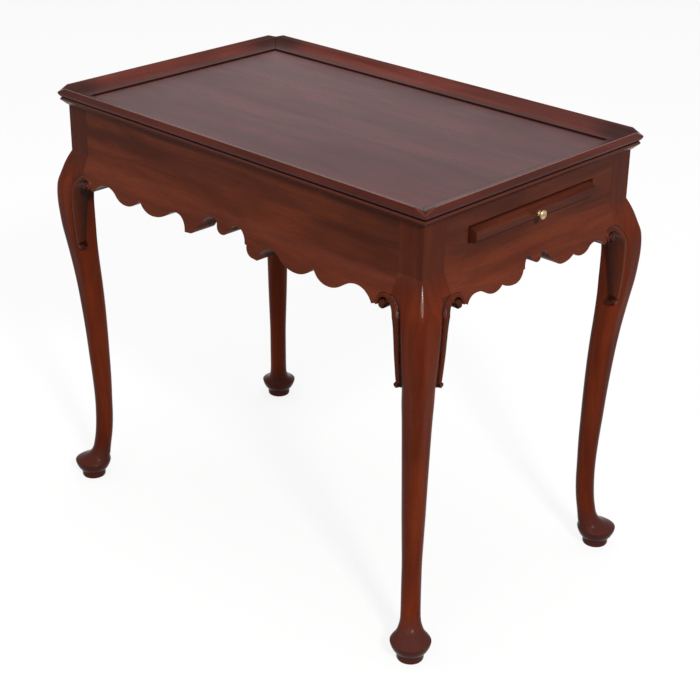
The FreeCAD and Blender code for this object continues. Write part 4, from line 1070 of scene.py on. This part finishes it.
    def drawing(self) -> tuple[np.ndarray, list[tuple[int, ...]]]:
        """One block's closed mesh, drawn as (u, z, depth) in millimetres.

        Returns:
            Its points with the painted shade of each, and its faces for a block whose u runs to
            the right.
        """
        rim = self.outline()
        low, high = rim.min(axis=0), rim.max(axis=0)
        across = np.arange(low[0], high[0], self.step)
        up = np.arange(low[1], high[1], self.row_step)
        grid = np.stack(np.meshgrid(across, up), axis=-1).reshape(-1, 2)
        ahead = np.roll(rim, -1, axis=0)
        level = (rim[None, :, 1] > grid[:, None, 1]) != (ahead[None, :, 1] > grid[:, None, 1])
        rise = ahead[:, 1] - rim[:, 1]
        slope = np.divide(ahead[:, 0] - rim[:, 0], rise, out=np.zeros(len(rim)), where=rise != 0)
        crossing = rim[None, :, 0] + (grid[:, None, 1] - rim[None, :, 1]) * slope[None]
        inside = (level & (grid[:, None, 0] < crossing)).sum(axis=1) % 2 == 1
        clear = np.hypot(grid[:, None, 0] - rim[None, :, 0], grid[:, None, 1] - rim[None, :, 1]).min(axis=1)
        flat = np.concatenate([rim, grid[inside & (clear > self.clearance)]])
        edges = [(k, (k + 1) % len(rim)) for k in range(len(rim))]
        found, _, faces, *_ = geometry.delaunay_2d_cdt([Vector(spot) for spot in flat], edges, [], 1, 1e-5)
        spots = np.array([tuple(spot) for spot in found])
        count = len(spots)
        depth, dark = self.carving(spots[:, 0], spots[:, 1])
        front = np.column_stack([spots, depth, dark])
        share = (high[1] - spots[:, 1]) / (high[1] - low[1])
        back = (self.toe - self.heel + self.back) * share - self.back
        # The back and the sawn sides take full painted shade, as they lie in shade under the table; their
        # sawn end grain also takes stain darker.
        back = np.column_stack([spots, back, np.ones(count)])
        shell = [tuple(face) for face in faces]
        shell += [tuple(count + corner for corner in reversed(face)) for face in faces]
        shell += [(b, a, count + a, count + b) for a, b in edges]
        return np.concatenate([front, back]), shell

    def build(self) -> None:
        """Place a carved block on each side of every knee."""
        drawn, faces = self.drawing()
        wood = StainedWood(
            "knee_block_finish", BLOCK_DEEP, BLOCK_WARM, Grain.UPRIGHT, Shade.CARVED, roughness=0.25,
            specular=0.25, bump=0.05,
        ).material()
        for corner, (sign_x, sign_y) in CORNERS.items():
            for side in corner.split("_"):
                u, z, depth, dark = drawn.T
                lengthwise = side in ("front", "back")
                x_in, y_in = (u, -depth) if lengthwise else (-depth, u)
                turned = (sign_x * sign_y > 0) == lengthwise
                shell = [tuple(reversed(face)) for face in faces] if turned else faces
                node = f"knee_block_{corner}_{side}"
                piece = new_piece(f"{node}_carved", self.case.place(corner, x_in, y_in, z), shell)
                # The carving's painted shade goes on as a point attribute.
                piece.data.attributes.new("painted_shade", "FLOAT", "POINT").data.foreach_set("value", dark)
                piece.data.shade_smooth()
                piece.data.set_sharp_from_angle(angle=math.radians(self.sharp))
                dress(piece, wood)
                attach(piece, "frame")
                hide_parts(node)
                LOG.info("%s: %d faces", node, len(shell))


@dataclass
class CandleSlides:
    """The two pull-out slides with their front bars, knobs and roses."""

    ends: tuple[str, ...] = ("right", "left")
    brass: CastMetal = CastMetal("aged_brass", (0.55, 0.42, 0.24), (0.2, 0.12, 0.05), 0.3)
    easing: EasedArrises = EasedArrises()

    def build(self) -> None:
        """Dress both slides."""
        brass = self.brass.material()
        wood = StainedWood("slide_finish", SLIDE_DEEP, SLIDE_WARM, Grain.CROSSWISE).material()
        bare = StainedWood(
            "slide_pin_finish", (0.3, 0.19, 0.1), (0.45, 0.3, 0.18), Grain.UPRIGHT, roughness=0.6
        ).material()
        for end in self.ends:
            dress(self.easing.ease(f"slide_front_{end}", f"{end}_slide"), wood)
            dress(bpy.data.objects[f"slide_board_{end}"], wood)
            dress(bpy.data.objects[f"slide_stop_pin_{end}"], bare)
            for fitting in (f"slide_knob_{end}", f"slide_rose_{end}"):
                dress(bpy.data.objects[fitting], brass)
            LOG.info("candle slide %s", end)


@dataclass
class UnderFrame:
    """The bare wood and the screws under the tray."""

    lengthwise: tuple[str, ...] = ("slide_runner", "top_cleat")
    crosswise: tuple[str, ...] = ("slide_middle_rail",)
    screws: tuple[str, ...] = ("corner_block_screws", "top_cleat_screws")

    def build(self) -> None:
        """Dress every piece under the tray."""
        pale, dull = (0.42, 0.28, 0.16), (0.27, 0.16, 0.085)
        for grain, nodes in (
            (Grain.LENGTHWISE, [f"{kind}_{side}" for kind in self.lengthwise for side in ("front", "back")]),
            (Grain.CROSSWISE, self.crosswise),
            (Grain.UPRIGHT, [f"corner_block_{corner}" for corner in CORNERS]),
        ):
            wood = StainedWood(
                f"bare_wood_{grain.name.lower()}", dull, pale, grain, roughness=0.62, specular=0.25
            ).material()
            for node in nodes:
                dress(bpy.data.objects[node], wood)
        steel = CastMetal("screw_steel_finish", (0.55, 0.55, 0.54), (0.3, 0.28, 0.26), 0.35).material()
        for node in self.screws:
            dress(bpy.data.objects[node], steel)
        LOG.info("under frame")


# Studio.


@dataclass
class Softbox:
    """One large soft lamp."""

    name: str
    place: Triple
    width: float
    power: float
    colour: Colour = (1.0, 0.98, 0.95)
    target: Triple = (0.0, 0.0, 0.45)

    def build(self) -> None:
        """Hang the lamp and point it at its target."""
        lamp = bpy.data.lights.new(self.name, "AREA")
        lamp.shape = "SQUARE"
        lamp.size = self.width
        lamp.energy = self.power
        lamp.color = self.colour
        rig = bpy.data.objects.new(self.name, lamp)
        bpy.context.scene.collection.objects.link(rig)
        rig.location = self.place
        rig.rotation_euler = (Vector(self.target) - Vector(self.place)).to_track_quat("-Z", "Y").to_euler()


@dataclass
class Studio:
    """A pale floor, soft lamps, a plain sky and the camera."""

    floor_reach: float = 30.0
    floor_grey: tuple[float, ...] = (0.15, 0.15, 0.15, 1.0)
    floor_glow: float = 0.84
    camera_place: Triple = (1.6106, -1.6387, 1.3865)
    azimuth: float = 45.55
    elevation: float = 25.66
    lens: float = 82.43
    shift: Spot = (0.05697, 0.00434)
    horizon: float = 0.45
    zenith: float = 0.5
    zenith_rise: float = 0.9
    lamps: tuple[Softbox, ...] = (
        Softbox("key_softbox", (4.7, -2.4, 3.95), 0.8, 280.0, (1.0, 0.985, 0.96)),
        Softbox("front_softbox", (2.1, -4.5, 3.9), 2.8, 72.0),
        Softbox("fill_softbox", (-2.2, -2.6, 2.4), 1.8, 9.0),
        Softbox("top_softbox", (-0.3, 0.4, 3.4), 2.4, 35.0, (1.0, 1.0, 1.0), (0.0, 0.0, 0.5)),
    )

    def floor(self) -> None:
        """Lay a white floor that keeps the table's soft shadow."""
        reach = self.floor_reach
        corners = np.array([[-reach, -reach, 0], [reach, -reach, 0], [reach, reach, 0], [-reach, reach, 0]])
        floor = new_piece("studio_floor", corners, [(0, 1, 2, 3)])
        bench = NodeBench(bpy.data.materials.new("studio_floor_paint"))
        path = bench.add("ShaderNodeLightPath").outputs
        seen = bench.maths("MAXIMUM", path["Is Camera Ray"], path["Is Glossy Ray"], True)
        seen = bench.maths("MAXIMUM", seen, path["Is Transmission Ray"], True)
        paint = bench.add("ShaderNodeBsdfDiffuse", {"Color": self.floor_grey})
        strength = bench.maths("MULTIPLY", seen, self.floor_glow)
        glow = bench.add("ShaderNodeEmission", {"Color": WHITE, "Strength": strength})
        both = bench.add("ShaderNodeAddShader", {0: paint.outputs[0], 1: glow.outputs[0]})
        dress(floor, bench.surface(both))

    def sky_light(self) -> None:
        """Light the room from a sky that is brighter overhead, and white where it is seen."""
        bench = NodeBench(bpy.data.worlds.new("studio_sky"), "ShaderNodeOutputWorld")
        place = bench.add("ShaderNodeTexCoord").outputs["Generated"]
        height = bench.add("ShaderNodeSeparateXYZ", {0: place}).outputs[2]
        links = {"Value": height, "From Max": self.zenith_rise, "To Min": self.horizon, "To Max": self.zenith}
        strength = bench.add("ShaderNodeMapRange", links).outputs[0]
        path = bench.add("ShaderNodeLightPath").outputs
        seen = bench.maths("MAXIMUM", path["Is Camera Ray"], path["Is Glossy Ray"])
        light, white = (
            bench.add("ShaderNodeBackground", {"Color": WHITE, "Strength": value}).outputs[0]
            for value in (strength, 1.0)
        )
        both = bench.add("ShaderNodeMixShader", {0: seen, 1: light, 2: white})
        bpy.context.scene.world = bench.surface(both)

    def camera(self) -> None:
        """Stand the camera at the near right corner, above the tray."""
        lens = bpy.data.cameras.new("studio_camera")
        lens.lens = self.lens
        lens.sensor_width = 36.0
        lens.shift_x, lens.shift_y = self.shift
        lens.clip_end = 200.0
        stand = bpy.data.objects.new("studio_camera", lens)
        bpy.context.scene.collection.objects.link(stand)
        turn = Matrix.Rotation(math.radians(self.azimuth), 4, "Z")
        tilt = Matrix.Rotation(math.radians(90 - self.elevation), 4, "X")
        stand.matrix_world = Matrix.Translation(self.camera_place) @ turn @ tilt
        bpy.context.scene.camera = stand

    def build(self) -> None:
        """Set the whole studio up."""
        self.floor()
        self.sky_light()
        self.camera()
        for lamp in self.lamps:
            lamp.build()
        bpy.context.scene.view_settings.view_transform = "Standard"
        LOG.info("studio")


def main() -> None:
    """Load the table, dress it, and set it in the studio."""
    logging.basicConfig(level=logging.INFO, format="%(name)s: %(message)s")
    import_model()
    for assembly in (Tray, Aprons, CabrioleLegs, KneeBlocks, CandleSlides, UnderFrame, Studio):
        assembly().build()


if __name__ == "__main__":
    main()
